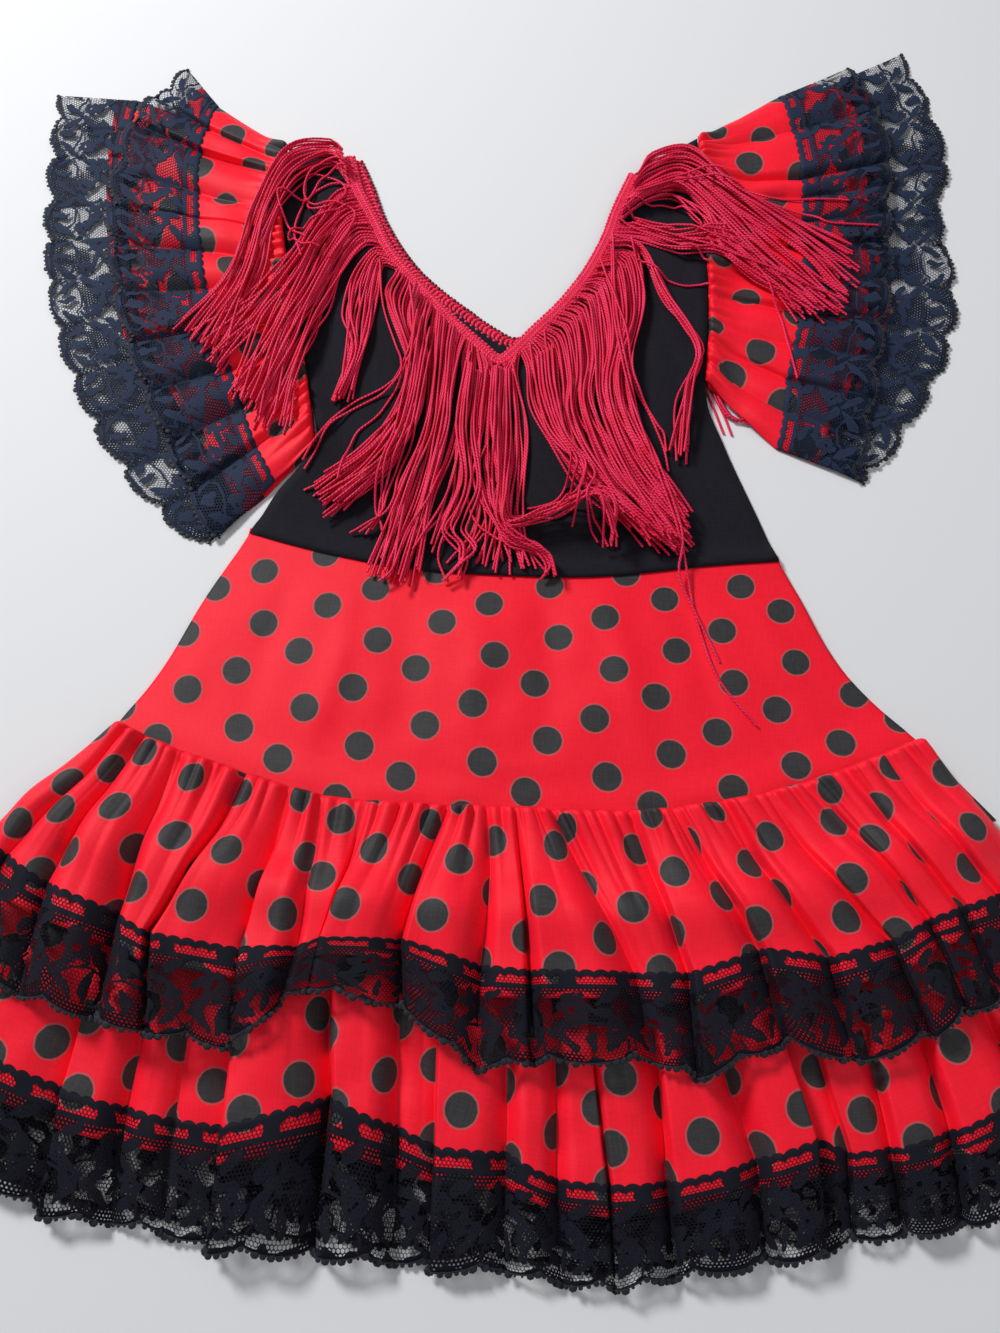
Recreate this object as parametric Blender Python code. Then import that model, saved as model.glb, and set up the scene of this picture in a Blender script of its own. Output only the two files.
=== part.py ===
# A girl's flamenco dress, laid out flat on its back: black jersey bodice with a
# fringed V neck, a dotted cotton skirt, two gathered tiers and two fluted sleeves,
# each flounce edged with lace. Every piece of cloth is its own closed wall.
# The dress lies on z = 0, with its front up, +Y towards the neck. Sizes are in mm.

import math

import bpy
import numpy as np
from mathutils import Vector
from mathutils.bvhtree import BVHTree

MM = 0.001

# driving dimensions
JERSEY = 1.2            # wall of the bodice
COTTON = 1.3            # wall of the flat skirt panels
FLOUNCE = 1.7           # wall of the gathered tiers and sleeves, measured straight down
LACE = 1.1              # wall of the lace, measured straight down
SEAM_GAP = 0.38         # air between two pieces that meet
LAP = 4.0               # how far one piece reaches over the next at a seam
BASE_DROP = 60.0        # hidden skirt cloth below the first tier's seam
TIER_RED_UNDER_LACE = 18.0
SLEEVE_RED_UNDER_LACE = 34.0
SCALLOP_PITCH = 40.0
SCALLOP_DEPTH = 5.0
GATHER_HEIGHT = 1.6     # small puckers along the first tier's seam
BRAID_WIDTH = 7.0
BRAID_HEIGHT = 1.8
CORD = 1.3              # one fringe cord
CORD_LEVEL = 1.75       # step from one level of cords to the next
FRONT_CORDS = 132
BACK_CORDS = 30
CORD_STATIONS = 4       # rings along one cord
BRAID_INSET = 0.5       # from the neckline's edge to the braid
FLOOR_GAP = 0.3         # air under the cords that lie beneath the dress
SKIRT_LOFT = 5.0        # how far the skirt's front stands off its back
SKIRT_CREASE = 1.4
BODICE_LOFT = 2.2
HEM_INSET = 5.0         # how far the hidden tiers stay inside the front ones
SEAM_GROWTH = 0.3       # share of a fold's height that it has at the gathers
EDGE_FALL = 0.25        # share of it that is lost at the lace's free edge
SLEEVE_BACK_SWAY = 0.35 # share of the front folds' height in a sleeve's hidden half
RADIATE_FROM = (0.0, 250.0)

# how closely cloth is tried against what lies below it
ABOVE_ALL = 500.0
LIFT_PASSES = 8
FEELER_STEP = 2.5
FEELER_REACH = 1.2
CORD_REACH = 2.0
SETTLE_REACH = 3.0
ENOUGH = 0.01
CURVE_STEPS = 12
SEAM_STEPS = 60

# outlines, as points (x, y) of smooth curves
WAIST = [(-157, 88), (-125, 78), (-81, 67), (-43, 61), (0, 58), (62, 57), (124, 64), (173, 68)]
TIER_SEAM = [(-222, -37), (-194, -51), (-141, -70), (-84, -84), (0, -88), (56, -91),
             (112, -87), (169, -75), (216, -58), (241, -48)]
SKIRT_LEFT = [(-157, 88), (-181, 43), (-200, 0), (-222, -37)]
SKIRT_RIGHT = [(173, 68), (184, 43), (197, 10), (212, -15), (241, -48)]
SIDE_LEFT = [(-157, 88), (-144, 116), (-129, 138), (-119, 157)]
SIDE_RIGHT = [(173, 68), (164, 98), (147, 151), (136, 197)]
ARMHOLE_LEFT = [(-119, 157), (-127, 197), (-137, 246), (-150, 307), (-158, 362), (-156, 409)]
ARMHOLE_RIGHT = [(136, 197), (143, 254), (145, 307), (145, 362), (147, 419)]
SHOULDER_LEFT = [(-156, 409), (-134, 411), (-107, 402)]
SHOULDER_RIGHT = [(94, 384), (123, 406), (147, 419)]
NECK_LEFT = [(-107, 402), (-100, 372), (-88, 345), (-75, 315), (-55, 287), (-28, 252), (0, 222)]
NECK_RIGHT = [(0, 222), (20, 245), (40, 268), (58, 295), (72, 325), (80, 350), (94, 384)]
BACK_NECK_LEFT = [(-102, 401), (-92, 375), (-80, 340), (-55, 297), (-15, 258), (8, 240)]
BACK_NECK_RIGHT = [(8, 240), (27, 244), (45, 266), (63, 293), (77, 323), (86, 350), (99, 387)]

# tier folds: one row for each valley, from the left side to the right.
# top_x is on the gathered edge, head is where the lace starts, edge is the lace's
# free edge, and rise is the height of the ridge between this valley and the next.
TIER1_FOLDS = [
    # top_x, head_x, head_y, edge_x, edge_y, rise
    (-222, -290, -104, -318, -150, 5),
    (-214, -268, -114, -288, -172, 7),
    (-203, -243, -130, -248, -186, 11),
    (-184, -202, -146, -206, -198, 11),
    (-144, -183, -157, -180, -204, 11),
    (-118, -135, -165, -136, -212, 7),
    (-99, -106, -164, -112, -192, 4),
    (-76, -95, -160, -98, -184, 9),
    (-28, -52, -160, -50, -192, 10),
    (-7, -10, -173, -12, -222, 7),
    (8, 15, -176, 17, -219, 12),
    (28, 70, -177, 76, -218, 6),
    (72, 98, -177, 99, -226, 8),
    (98, 136, -165, 143, -210, 9),
    (122, 172, -169, 180, -219, 7),
    (148, 206, -160, 220, -206, 6),
    (172, 228, -149, 240, -194, 6),
    (197, 246, -143, 260, -190, 6),
    (218, 268, -136, 284, -184, 5),
    (241, 291, -120, 312, -170, 0),
]
TIER2_FOLDS = [
    # top_x, head_x, head_y, edge_x, edge_y, rise
    (-258, -308, -198, -328, -240, 5),
    (-236, -272, -212, -284, -258, 8),
    (-205, -222, -232, -226, -288, 8),
    (-178, -190, -241, -192, -292, 5),
    (-148, -165, -247, -166, -296, 2),
    (-132, -140, -250, -142, -303, 13),
    (-92, -86, -236, -90, -305, 10),
    (-56, -52, -250, -52, -309, 2),
    (-30, -33, -259, -34, -312, 7),
    (-2, 3, -262, 2, -312, 7),
    (22, 28, -274, 30, -318, 6),
    (46, 54, -276, 55, -320, 8),
    (70, 83, -275, 85, -315, 9),
    (98, 128, -265, 130, -308, 9),
    (136, 158, -255, 157, -306, 2),
    (150, 175, -262, 173, -299, 6),
    (172, 196, -260, 198, -297, 8),
    (198, 227, -252, 228, -293, 8),
    (228, 268, -234, 270, -282, 6),
    (250, 300, -220, 314, -264, 0),
]

# sleeves: curves run from the shoulder to the underarm
SLEEVES = {
    "left": {
        "seam": [(-156, 410), (-158, 362), (-150, 307), (-137, 246), (-127, 197), (-120, 153)],
        "head": [(-214, 456), (-220, 400), (-218, 365), (-209, 310), (-198, 262), (-178, 208),
                 (-163, 163), (-144, 126)],
        "edge": [(-240, 492), (-272, 440), (-280, 385), (-275, 330), (-262, 270), (-238, 205),
                 (-212, 150), (-178, 84)],
        "under_head": [(-276, 463), (-277, 420), (-272, 370), (-262, 310), (-246, 250),
                       (-214, 185), (-184, 140), (-150, 116)],
        "under_edge": [(-334, 468), (-330, 400), (-322, 330), (-306, 262), (-276, 190),
                       (-244, 140), (-208, 100), (-184, 82)],
        "folds": [(0.0, 0.0, 5), (0.06, 0.08, 7), (0.12, 0.15, 7), (0.22, 0.26, 5),
                  (0.30, 0.34, 7), (0.40, 0.42, 7), (0.50, 0.52, 6), (0.60, 0.62, 6),
                  (0.70, 0.72, 6), (0.80, 0.82, 5), (0.90, 0.91, 4), (1.0, 1.0, 0)],
    },
    "right": {
        "seam": [(147, 420), (145, 362), (145, 307), (143, 254), (136, 199)],
        "head": [(212, 466), (219, 420), (219, 375), (213, 318), (205, 255), (193, 215),
                 (186, 175), (180, 152)],
        "edge": [(266, 494), (286, 440), (284, 400), (276, 345), (268, 285), (252, 222),
                 (240, 170), (228, 129)],
        "under_head": [(262, 484), (272, 440), (270, 390), (263, 330), (256, 270), (240, 215),
                       (222, 175), (200, 146)],
        "under_edge": [(310, 510), (328, 440), (329, 400), (314, 350), (316, 295), (304, 235),
                       (270, 175), (232, 127)],
        "folds": [(0.0, 0.0, 4), (0.06, 0.10, 5), (0.16, 0.20, 7), (0.26, 0.29, 7),
                  (0.36, 0.38, 6), (0.46, 0.47, 6), (0.56, 0.56, 5), (0.66, 0.65, 5),
                  (0.76, 0.74, 5), (0.84, 0.83, 4), (0.92, 0.91, 4), (1.0, 1.0, 0)],
    },
}

# locks of fringe: place on the neckline (0 at the left shoulder, 1 at the right one),
# then the points that the cord passes and its tip. Cords between two rows of a lock
# lie between their paths.
FRONT_LOCKS = {
    "left shoulder": [
        (0.01, (-136, 409), (-166, 388), (-178, 330), (-196, 270), (-214, 238)),
        (0.06, (-132, 400), (-158, 378), (-168, 325), (-182, 262), (-196, 212)),
        (0.10, (-126, 384), (-148, 355), (-158, 310), (-170, 250), (-184, 192)),
    ],
    "left chest": [
        (0.11, (-124, 366), (-140, 330), (-150, 285), (-160, 225), (-166, 168)),
        (0.17, (-112, 332), (-126, 295), (-138, 250), (-146, 205), (-150, 158)),
    ],
    "left straight": [
        (0.18, (-104, 320), (-108, 285), (-112, 245), (-106, 205), (-110, 184)),
        (0.24, (-88, 300), (-94, 270), (-98, 240), (-96, 205), (-100, 186)),
    ],
    "left sweep": [
        (0.25, (-80, 278), (-66, 240), (-62, 205), (-84, 158), (-118, 127)),
        (0.36, (-46, 244), (-44, 215), (-44, 180), (-72, 132), (-108, 104)),
    ],
    "left waist": [
        (0.37, (-38, 240), (-38, 200), (-42, 160), (-62, 112), (-84, 70)),
        (0.45, (-16, 214), (-24, 180), (-28, 145), (-40, 105), (-54, 64)),
    ],
    "middle": [
        (0.46, (-10, 206), (-14, 170), (-16, 135), (-14, 100), (-28, 68)),
        (0.53, (10, 208), (10, 170), (12, 135), (12, 100), (24, 62)),
    ],
    "right sweep": [
        (0.54, (16, 212), (26, 180), (36, 150), (58, 116), (84, 90)),
        (0.72, (70, 272), (80, 225), (80, 185), (92, 145), (110, 102)),
    ],
    "right loose": [
        (0.724, (78, 234), (92, 150), (110, 84), (118, 30), (148, -40)),
        (0.728, (79, 235), (93, 150), (111, 84), (119, 30), (149, -40)),
    ],
    "right edge": [
        (0.73, (80, 285), (92, 240), (86, 205), (98, 172), (112, 138)),
        (0.78, (96, 296), (112, 262), (130, 226), (120, 190), (116, 142)),
    ],
    "right arm": [
        (0.79, (104, 318), (132, 304), (160, 290), (188, 268), (214, 250)),
        (0.88, (112, 356), (142, 348), (172, 326), (202, 300), (230, 268)),
    ],
    "right shoulder": [
        (0.89, (112, 368), (144, 366), (176, 340), (208, 316), (240, 296)),
        (0.99, (116, 400), (150, 396), (180, 362), (214, 332), (250, 314)),
    ],
}
BACK_LOCKS = {
    "back left": [
        (0.05, (-112, 360), (-116, 310), (-112, 260), (-104, 215), (-98, 185)),
        (0.40, (-34, 250), (-38, 205), (-42, 160), (-44, 115), (-46, 88)),
    ],
    "back right": [
        (0.55, (24, 232), (34, 190), (44, 150), (58, 115), (66, 92)),
        (0.86, (88, 320), (100, 275), (108, 230), (112, 190), (114, 160)),
    ],
    "back underarm": [
        (0.88, (98, 325), (114, 280), (126, 232), (140, 192), (150, 158)),
        (0.92, (104, 335), (120, 285), (131, 235), (146, 190), (160, 162)),
    ],
}

JERSEY_COLOUR = (0.018, 0.016, 0.022)
DOTTED_RED = (0.78, 0.02, 0.045)
LACE_COLOUR = (0.012, 0.013, 0.022)
FRINGE_COLOUR = (0.58, 0.008, 0.045)


def material(name, colour, roughness):
    made = bpy.data.materials.new(name)
    made.use_nodes = True
    shader = made.node_tree.nodes["Principled BSDF"]
    shader.inputs["Base Color"].default_value = (*colour, 1.0)
    shader.inputs["Roughness"].default_value = roughness
    shader.inputs["Metallic"].default_value = 0.0
    return made


def smooth(points, count):
    # count points, evenly spaced by length, on a smooth curve through the given ones
    knots = np.array(points, dtype=float)
    padded = np.vstack([2 * knots[0] - knots[1], knots, 2 * knots[-1] - knots[-2]])
    steps = np.linspace(0.0, 1.0, CURVE_STEPS, endpoint=False)[:, None]
    dense = []
    for a, b, c, d in zip(padded, padded[1:], padded[2:], padded[3:]):
        dense.append(0.5 * (2 * b + (c - a) * steps + (2 * a - 5 * b + 4 * c - d) * steps ** 2
                            + (3 * b - a - 3 * c + d) * steps ** 3))
    dense = np.vstack(dense + [knots[-1:]])
    lengths = np.linalg.norm(np.diff(dense, axis=0), axis=1)
    travelled = np.concatenate([[0.0], np.cumsum(lengths)])
    wanted = np.linspace(0.0, travelled[-1], count)
    return np.stack([np.interp(wanted, travelled, axis) for axis in dense.T], axis=1)


def at(curve, fraction):
    # a point at a fraction of the length of an evenly spaced curve
    places = np.linspace(0.0, 1.0, len(curve))
    return np.array([np.interp(fraction, places, axis) for axis in curve.T])


class Pile:
    # what lies on the floor so far, so that the next piece can be laid on it
    def __init__(self):
        self.vertices = []
        self.faces = []
        self.tree = None

    def add(self, vertices, faces):
        start = len(self.vertices)
        self.vertices += [Vector(v) for v in vertices]
        self.faces += [tuple(i + start for i in face) for face in faces]
        self.tree = BVHTree.FromPolygons(self.vertices, self.faces)

    def height(self, x, y):
        # the highest cloth at a place
        if self.tree is None:
            return 0.0
        start = Vector((x, y, ABOVE_ALL))
        hit = self.tree.ray_cast(start, Vector((0.0, 0.0, -1.0)))[0]
        return hit.z if hit is not None else 0.0

    def highest(self, x, y, reach):
        # the highest cloth within reach of a place
        around = [(dx, dy) for dx in (-reach, 0.0, reach) for dy in (-reach, 0.0, reach)]
        return max(self.height(x + dx, y + dy) for dx, dy in around)


pile = Pile()


def make_object(name, vertices, faces, finish):
    mesh = bpy.data.meshes.new(name)
    mesh.from_pydata([tuple(c * MM for c in v) for v in vertices], [], faces)
    mesh.materials.append(finish)
    mesh.update()
    made = bpy.data.objects.new(name, mesh)
    bpy.context.collection.objects.link(made)
    return made


def wall(name, top, thickness, finish):
    # a closed wall under a grid of upper points (rows, columns, xyz)
    rows, columns = top.shape[:2]
    under = top.copy()
    under[:, :, 2] -= thickness
    vertices = np.vstack([top.reshape(-1, 3), under.reshape(-1, 3)])
    size = rows * columns

    def node(i, j):
        return i * columns + j

    faces = []
    for i in range(rows - 1):
        for j in range(columns - 1):
            a, b, c, d = node(i, j), node(i, j + 1), node(i + 1, j + 1), node(i + 1, j)
            faces += [(a, b, c), (a, c, d)]
            faces += [(a + size, c + size, b + size), (a + size, d + size, c + size)]
    rim = [node(0, j) for j in range(columns)]
    rim += [node(i, columns - 1) for i in range(1, rows)]
    rim += [node(rows - 1, j) for j in range(columns - 2, -1, -1)]
    rim += [node(i, 0) for i in range(rows - 2, 0, -1)]
    for a, b in zip(rim, rim[1:] + rim[:1]):
        faces += [(b, a, a + size), (b, a + size, b + size)]
    across = top[0, -1] - top[0, 0]
    down = top[-1, 0] - top[0, 0]
    if across[0] * down[1] - across[1] * down[0] < 0:
        faces = [face[::-1] for face in faces]
    pile.add(vertices, faces)
    return make_object(name, vertices.tolist(), faces, finish)


def lay(plan, thickness, rise=None):
    # lift a flat plan of points onto what is there, plus its own rise above that
    top = np.zeros(plan.shape[:2] + (3,))
    top[:, :, :2] = plan
    for i in range(plan.shape[0]):
        for j in range(plan.shape[1]):
            top[i, j, 2] = resting(pile.highest(*plan[i, j], SETTLE_REACH)) + thickness
    if rise is not None:
        top[:, :, 2] += rise
    for _ in range(LIFT_PASSES):
        if lift_clear(top, thickness) == 0.0:
            break
    return top


def resting(below):
    return below + SEAM_GAP if below > 0.0 else 0.0


def lift_clear(top, thickness):
    # raise the corners of each cell whose underside would dip into what is below it,
    # most at the corners nearest to the place that dips
    lift = np.zeros(top.shape[:2])
    for i in range(top.shape[0] - 1):
        for j in range(top.shape[1] - 1):
            corners = ((i, j), (i, j + 1), (i + 1, j + 1), (i + 1, j))
            a, b, c, d = (top[place] for place in corners)
            across = np.linspace(0.0, 1.0, 2 + int(math.dist(a, b) / FEELER_STEP))
            down = np.linspace(0.0, 1.0, 2 + int(math.dist(a, d) / FEELER_STEP))
            for f in across:
                for g in down:
                    # the cell is two triangles that meet on its diagonal from a to c
                    low, high = min(f, g), max(f, g)
                    weights = (1 - high, max(f - g, 0.0), low, max(g - f, 0.0))
                    point = sum(w * corner for w, corner in zip(weights, (a, b, c, d)))
                    below = pile.highest(point[0], point[1], FEELER_REACH)
                    need = resting(below) + thickness - point[2]
                    if need > ENOUGH:
                        share = need / sum(w * w for w in weights)
                        for place, w in zip(corners, weights):
                            lift[place] = max(lift[place], w * share)
    top[:, :, 2] += lift
    return lift.max()


def patch(bottom, top, left, right):
    # a grid filled in between four sides; rows run from bottom to top
    u = np.linspace(0.0, 1.0, len(bottom))[None, :, None]
    v = np.linspace(0.0, 1.0, len(left))[:, None, None]
    ruled = (1 - v) * bottom[None] + v * top[None]
    sides = (1 - u) * left[:, None] + u * right[:, None]
    corners = ((1 - u) * (1 - v) * bottom[0] + u * (1 - v) * bottom[-1]
               + (1 - u) * v * top[0] + u * v * top[-1])
    return ruled + sides - corners


def bodice_plan(neck_left, neck_right, rows):
    # vertical strips from the waist to the shoulders and the neckline
    top = np.vstack([smooth(SHOULDER_LEFT, 3)[:-1], smooth(neck_left, 10)[:-1],
                     smooth(neck_right, 9)[:-1], smooth(SHOULDER_RIGHT, 3)])
    top[2] = neck_left[0]
    top[-3] = neck_right[-1]
    waist = smooth(WAIST, 60)
    share = (top[:, 0] - top[0, 0]) / (top[-1, 0] - top[0, 0])
    bottom_x = waist[0, 0] + share * (waist[-1, 0] - waist[0, 0])
    bottom = np.stack([bottom_x, np.interp(bottom_x, waist[:, 0], waist[:, 1])], axis=1)
    left = smooth(SIDE_LEFT[:-1] + ARMHOLE_LEFT, rows)
    right = smooth(SIDE_RIGHT[:-1] + ARMHOLE_RIGHT, rows)
    return patch(bottom, top, left, right)


def dropped(seam, distance):
    # the seam moved down the skirt, away from the point that its folds radiate from
    outward = seam - np.array(RADIATE_FROM)
    return seam + distance * outward / np.linalg.norm(outward, axis=1)[:, None]


def skirt_plan(columns, rows, drop_rows):
    # waist to tier seam, then the hidden cloth that the second tier hangs from
    waist = smooth(WAIST, columns) + (0.0, LAP)
    seam = smooth(TIER_SEAM, columns)
    left = smooth(SKIRT_LEFT, rows)
    right = smooth(SKIRT_RIGHT, rows)
    left[0] = waist[0]
    right[0] = waist[-1]
    hidden = [dropped(seam, BASE_DROP * k / drop_rows) for k in range(1, drop_rows + 1)]
    return np.vstack([patch(waist, seam, left, right), np.array(hidden)])


def base_line(top_x):
    # a point on the line, under the first tier, where the second tier is sewn
    line = dropped(smooth(TIER_SEAM, SEAM_STEPS), BASE_DROP - LAP)
    return np.array([top_x, np.interp(top_x, line[:, 0], line[:, 1])])


def seam_line(top_x):
    # a point where the first tier is sewn on, just above the end of the skirt
    seam = smooth(TIER_SEAM, SEAM_STEPS)
    return np.array([top_x, np.interp(top_x, seam[:, 0], seam[:, 1]) + LAP / 4])


def tier_valleys(folds, line):
    # top, head and edge points and the rise of each valley
    return [(line(row[0]), np.array(row[1:3], float), np.array(row[3:5], float), row[5])
            for row in folds]


def sleeve_valleys(sleeve, head, edge, sway):
    seam_curve = smooth(sleeve["seam"], 40)
    head_curve = smooth(sleeve[head], 40)
    edge_curve = smooth(sleeve[edge], 40)
    return [(at(seam_curve, a), at(head_curve, b), at(edge_curve, b), rise * sway)
            for a, b, rise in sleeve["folds"]]


def fold_columns(valleys, per_fold):
    # columns across the cloth: their top, head and edge points and the fold's height
    columns = []
    for k in range(len(valleys) - 1):
        for part in range(per_fold):
            f = part / per_fold
            here = [(1 - f) * valleys[k][n] + f * valleys[k + 1][n] for n in range(3)]
            columns.append((*here, valleys[k][3] * math.sin(math.pi * f) ** 0.8))
    columns.append((*valleys[-1][:3], 0.0))
    return columns


def flounce_grid(columns, red_rows, under_lace):
    # plan rows from the gathered edge to the lace's free edge, with each row's share of
    # the folds' height: red_rows stretches of bare red, the red hem, the free edge
    top = np.array([c[0] for c in columns])
    head = np.array([c[1] for c in columns])
    edge = np.array([c[2] for c in columns])
    plan = []
    growth = []
    for k in range(red_rows + 1):
        v = k / red_rows
        plan.append((1 - v) * top + v * head)
        growth.append(SEAM_GROWTH + (1 - SEAM_GROWTH) * v)
    run = edge - head
    length = np.linalg.norm(run, axis=1)[:, None]
    plan.append(head + run * np.minimum(under_lace / length, 0.75))
    growth.append(1.0)
    steps = np.linalg.norm(np.diff(edge, axis=0), axis=1)
    travelled = np.concatenate([[0.0], np.cumsum(steps)])[:, None]
    scallop = np.abs(np.sin(math.pi * travelled / SCALLOP_PITCH)) ** 0.6 - 0.5
    plan.append(edge + run / length * SCALLOP_DEPTH * scallop)
    growth.append(1.0 - EDGE_FALL)
    return np.array(plan), np.array(growth)


def flounce(name, valleys, per_fold, red_rows, under_lace, finishes, gather=0.0):
    # a gathered strip of dotted cotton with lace over its lower part
    columns = fold_columns(valleys, per_fold)
    plan, growth = flounce_grid(columns, red_rows, under_lace)
    rise = growth[:, None] * np.array([c[3] for c in columns])[None, :]
    pucker = gather * (np.arange(len(columns)) % 2)
    for i in range(red_rows + 1):
        rise[i] += pucker * math.exp(-3.5 * i / red_rows)
    top = lay(plan, FLOUNCE, rise)
    lace = top[red_rows:].copy()
    lace[:, :, 2] += SEAM_GAP + LACE
    wall(name, top[:red_rows + 2], FLOUNCE, finishes["dotted"])
    wall(name + "_lace", lace, LACE, finishes["lace"])


def flat_flounce(name, valleys, finishes):
    # the hidden side of a tier, pressed flat under the dress, its lace against the floor
    plan, _ = flounce_grid(fold_columns(valleys, 1), 1, TIER_RED_UNDER_LACE)
    away = plan[-1] - plan[0]
    away /= np.linalg.norm(away, axis=1)[:, None]
    plan[1:] -= away[None] * HEM_INSET
    wall(name + "_lace", lay(plan[1:], LACE), LACE, finishes["lace"])
    wall(name, lay(plan[:3], COTTON), COTTON, finishes["dotted"])


def braid_line(left, right):
    # the braid's own line, just inside the neckline's edge, and its outer side
    path = np.vstack([smooth(left, SEAM_STEPS)[:-1], smooth(right, SEAM_STEPS)])
    step = np.gradient(path, axis=0)
    step /= np.linalg.norm(step, axis=1)[:, None]
    outward = np.stack([step[:, 1], -step[:, 0]], axis=1)
    return path + outward * (BRAID_WIDTH / 2 + BRAID_INSET), outward


def locate(path, outward, share):
    places = np.linspace(0.0, 1.0, len(path))
    point = np.array([np.interp(share, places, axis) for axis in path.T])
    side = np.array([np.interp(share, places, axis) for axis in outward.T])
    return point, side / np.linalg.norm(side)


def cord_path(locks, share, point):
    # the flat path of the cord rooted at this share of the neckline, without its root
    pairs = [pair for lock in locks.values() for pair in zip(lock, lock[1:])]
    first, second = min(pairs, key=lambda pair: max(pair[0][0] - share, share - pair[1][0], 0.0))
    span = second[0] - first[0]
    f = (share - first[0]) / span
    way = [tuple((1 - f) * a + f * b for a, b in zip(p, q)) for p, q in zip(first[1:], second[1:])]
    return smooth([tuple(point)] + way, CORD_STATIONS + 1)[1:]


def bed(place, reach, on_floor):
    # the height at which braid or cord lies at a place
    return FLOOR_GAP if on_floor else pile.highest(*place, reach) + SEAM_GAP


def braid_rings(path, outward, count, vertices, on_floor):
    # square rings along the braid, each corner named: inner top, outer top, outer
    # bottom, inner bottom
    half = BRAID_WIDTH / 2
    places = [locate(path, outward, k / count) for k in range(count + 1)]
    beds = [max(bed(point + side * across, CORD_REACH, on_floor) for across in (-half, 0, half))
            for point, side in places]
    rings = []
    for k, (point, side) in enumerate(places):
        z = max(beds[max(k - 1, 0):k + 2])
        corners = [(point - side * half, z + BRAID_HEIGHT), (point + side * half, z + BRAID_HEIGHT),
                   (point + side * half, z), (point - side * half, z)]
        rings.append([add_vertex(vertices, *corner) for corner in corners])
    return rings


def add_vertex(vertices, point, z):
    vertices.append((float(point[0]), float(point[1]), float(z)))
    return len(vertices) - 1


def draw_cord(vertices, faces, bay, stops, heights):
    # a square cord drawn out of one bay of the braid, through the given stops
    ring = bay
    for n in range(1, len(stops)):
        after = stops[n + 1] if n + 1 < len(stops) else stops[n]
        heading = after - stops[n - 1]
        heading = heading / np.linalg.norm(heading)
        across = np.array([-heading[1], heading[0]]) * CORD / 2
        one, other, z = stops[n] + across, stops[n] - across, heights[n]
        corners = [(one, z + CORD), (other, z + CORD), (other, z), (one, z)]
        following = [add_vertex(vertices, *corner) for corner in corners]
        following = untwisted(ring, following, vertices)
        for m in range(4):
            p = (m + 1) % 4
            faces += [(ring[m], following[m], following[p]), (ring[m], following[p], ring[p])]
        ring = following
    faces += [(ring[0], ring[2], ring[1]), (ring[0], ring[3], ring[2])]


def fringe(name, left, right, locks, count, levels, finish, on_floor=False):
    # a braid along the neckline, with a cord drawn out of every bay of its outer side
    path, outward = braid_line(left, right)
    vertices = []
    rings = braid_rings(path, outward, count, vertices, on_floor)
    faces = []
    for a, b in zip(rings, rings[1:]):
        for m in (0, 2, 3):
            n = (m + 1) % 4
            faces += [(a[m], a[n], b[n]), (a[m], b[n], b[m])]
    first, last = rings[0], rings[-1]
    faces += [(first[0], first[3], first[2]), (first[0], first[2], first[1])]
    faces += [(last[0], last[1], last[2]), (last[0], last[2], last[3])]
    for k in range(count):
        share = (k + 0.5) / count
        point, side = locate(path, outward, share)
        root = point + side * BRAID_WIDTH / 2
        stops = [root] + list(cord_path(locks, share, root))
        heights = [vertices[rings[k][2]][2]]
        heights += [bed(stop, CORD, on_floor) + k % levels * CORD_LEVEL for stop in stops[1:]]
        if not on_floor:
            lift_cord(stops, heights)
        bay = [rings[k][1], rings[k + 1][1], rings[k + 1][2], rings[k][2]]
        draw_cord(vertices, faces, bay, stops, heights)
    faces = outward_facing(vertices, faces)
    pile.add(vertices, faces)
    return make_object(name, vertices, faces, finish)


def lift_cord(stops, heights):
    # raise the ends of each stretch of cord that would dip into the cloth below it
    for _ in range(LIFT_PASSES):
        for n in range(len(stops) - 1):
            for f in np.linspace(0.0, 1.0, 11):
                place = (1 - f) * stops[n] + f * stops[n + 1]
                level = (1 - f) * heights[n] + f * heights[n + 1]
                need = pile.highest(*place, CORD_REACH) + SEAM_GAP - level
                if need > ENOUGH and n == 0:
                    heights[1] += need / max(f, 0.1)
                elif need > ENOUGH:
                    share = need / (f * f + (1 - f) * (1 - f))
                    heights[n + 1] += f * share
                    heights[n] += (1 - f) * share


def untwisted(ring, following, vertices):
    # the next ring, with its corners on the same sides as this one's
    def gap(a, b):
        return math.dist(vertices[a], vertices[b])
    straight = gap(ring[0], following[0]) + gap(ring[1], following[1])
    crossed = gap(ring[0], following[1]) + gap(ring[1], following[0])
    if crossed < straight:
        return [following[1], following[0], following[3], following[2]]
    return following


def outward_facing(vertices, faces):
    # turn every face round if the solid is inside out
    volume = 0.0
    for a, b, c in faces:
        va, vb, vc = Vector(vertices[a]), Vector(vertices[b]), Vector(vertices[c])
        volume += va.dot(vb.cross(vc))
    return faces if volume > 0 else [face[::-1] for face in faces]


def build_tier_backs(finishes):
    flat_flounce("tier1_back", tier_valleys(TIER1_FOLDS, seam_line), finishes)
    flat_flounce("tier2_back", tier_valleys(TIER2_FOLDS, base_line), finishes)


def build_tier_fronts(finishes):
    flounce("tier2_front", tier_valleys(TIER2_FOLDS, base_line), 3, 3, TIER_RED_UNDER_LACE,
            finishes)
    flounce("tier1_front", tier_valleys(TIER1_FOLDS, seam_line), 4, 3, TIER_RED_UNDER_LACE,
            finishes, gather=GATHER_HEIGHT)


def build_sleeve_backs(finishes):
    for side, sleeve in SLEEVES.items():
        valleys = sleeve_valleys(sleeve, "under_head", "under_edge", SLEEVE_BACK_SWAY)
        flounce("sleeve_back_" + side, valleys, 2, 2, TIER_RED_UNDER_LACE, finishes)


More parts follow.
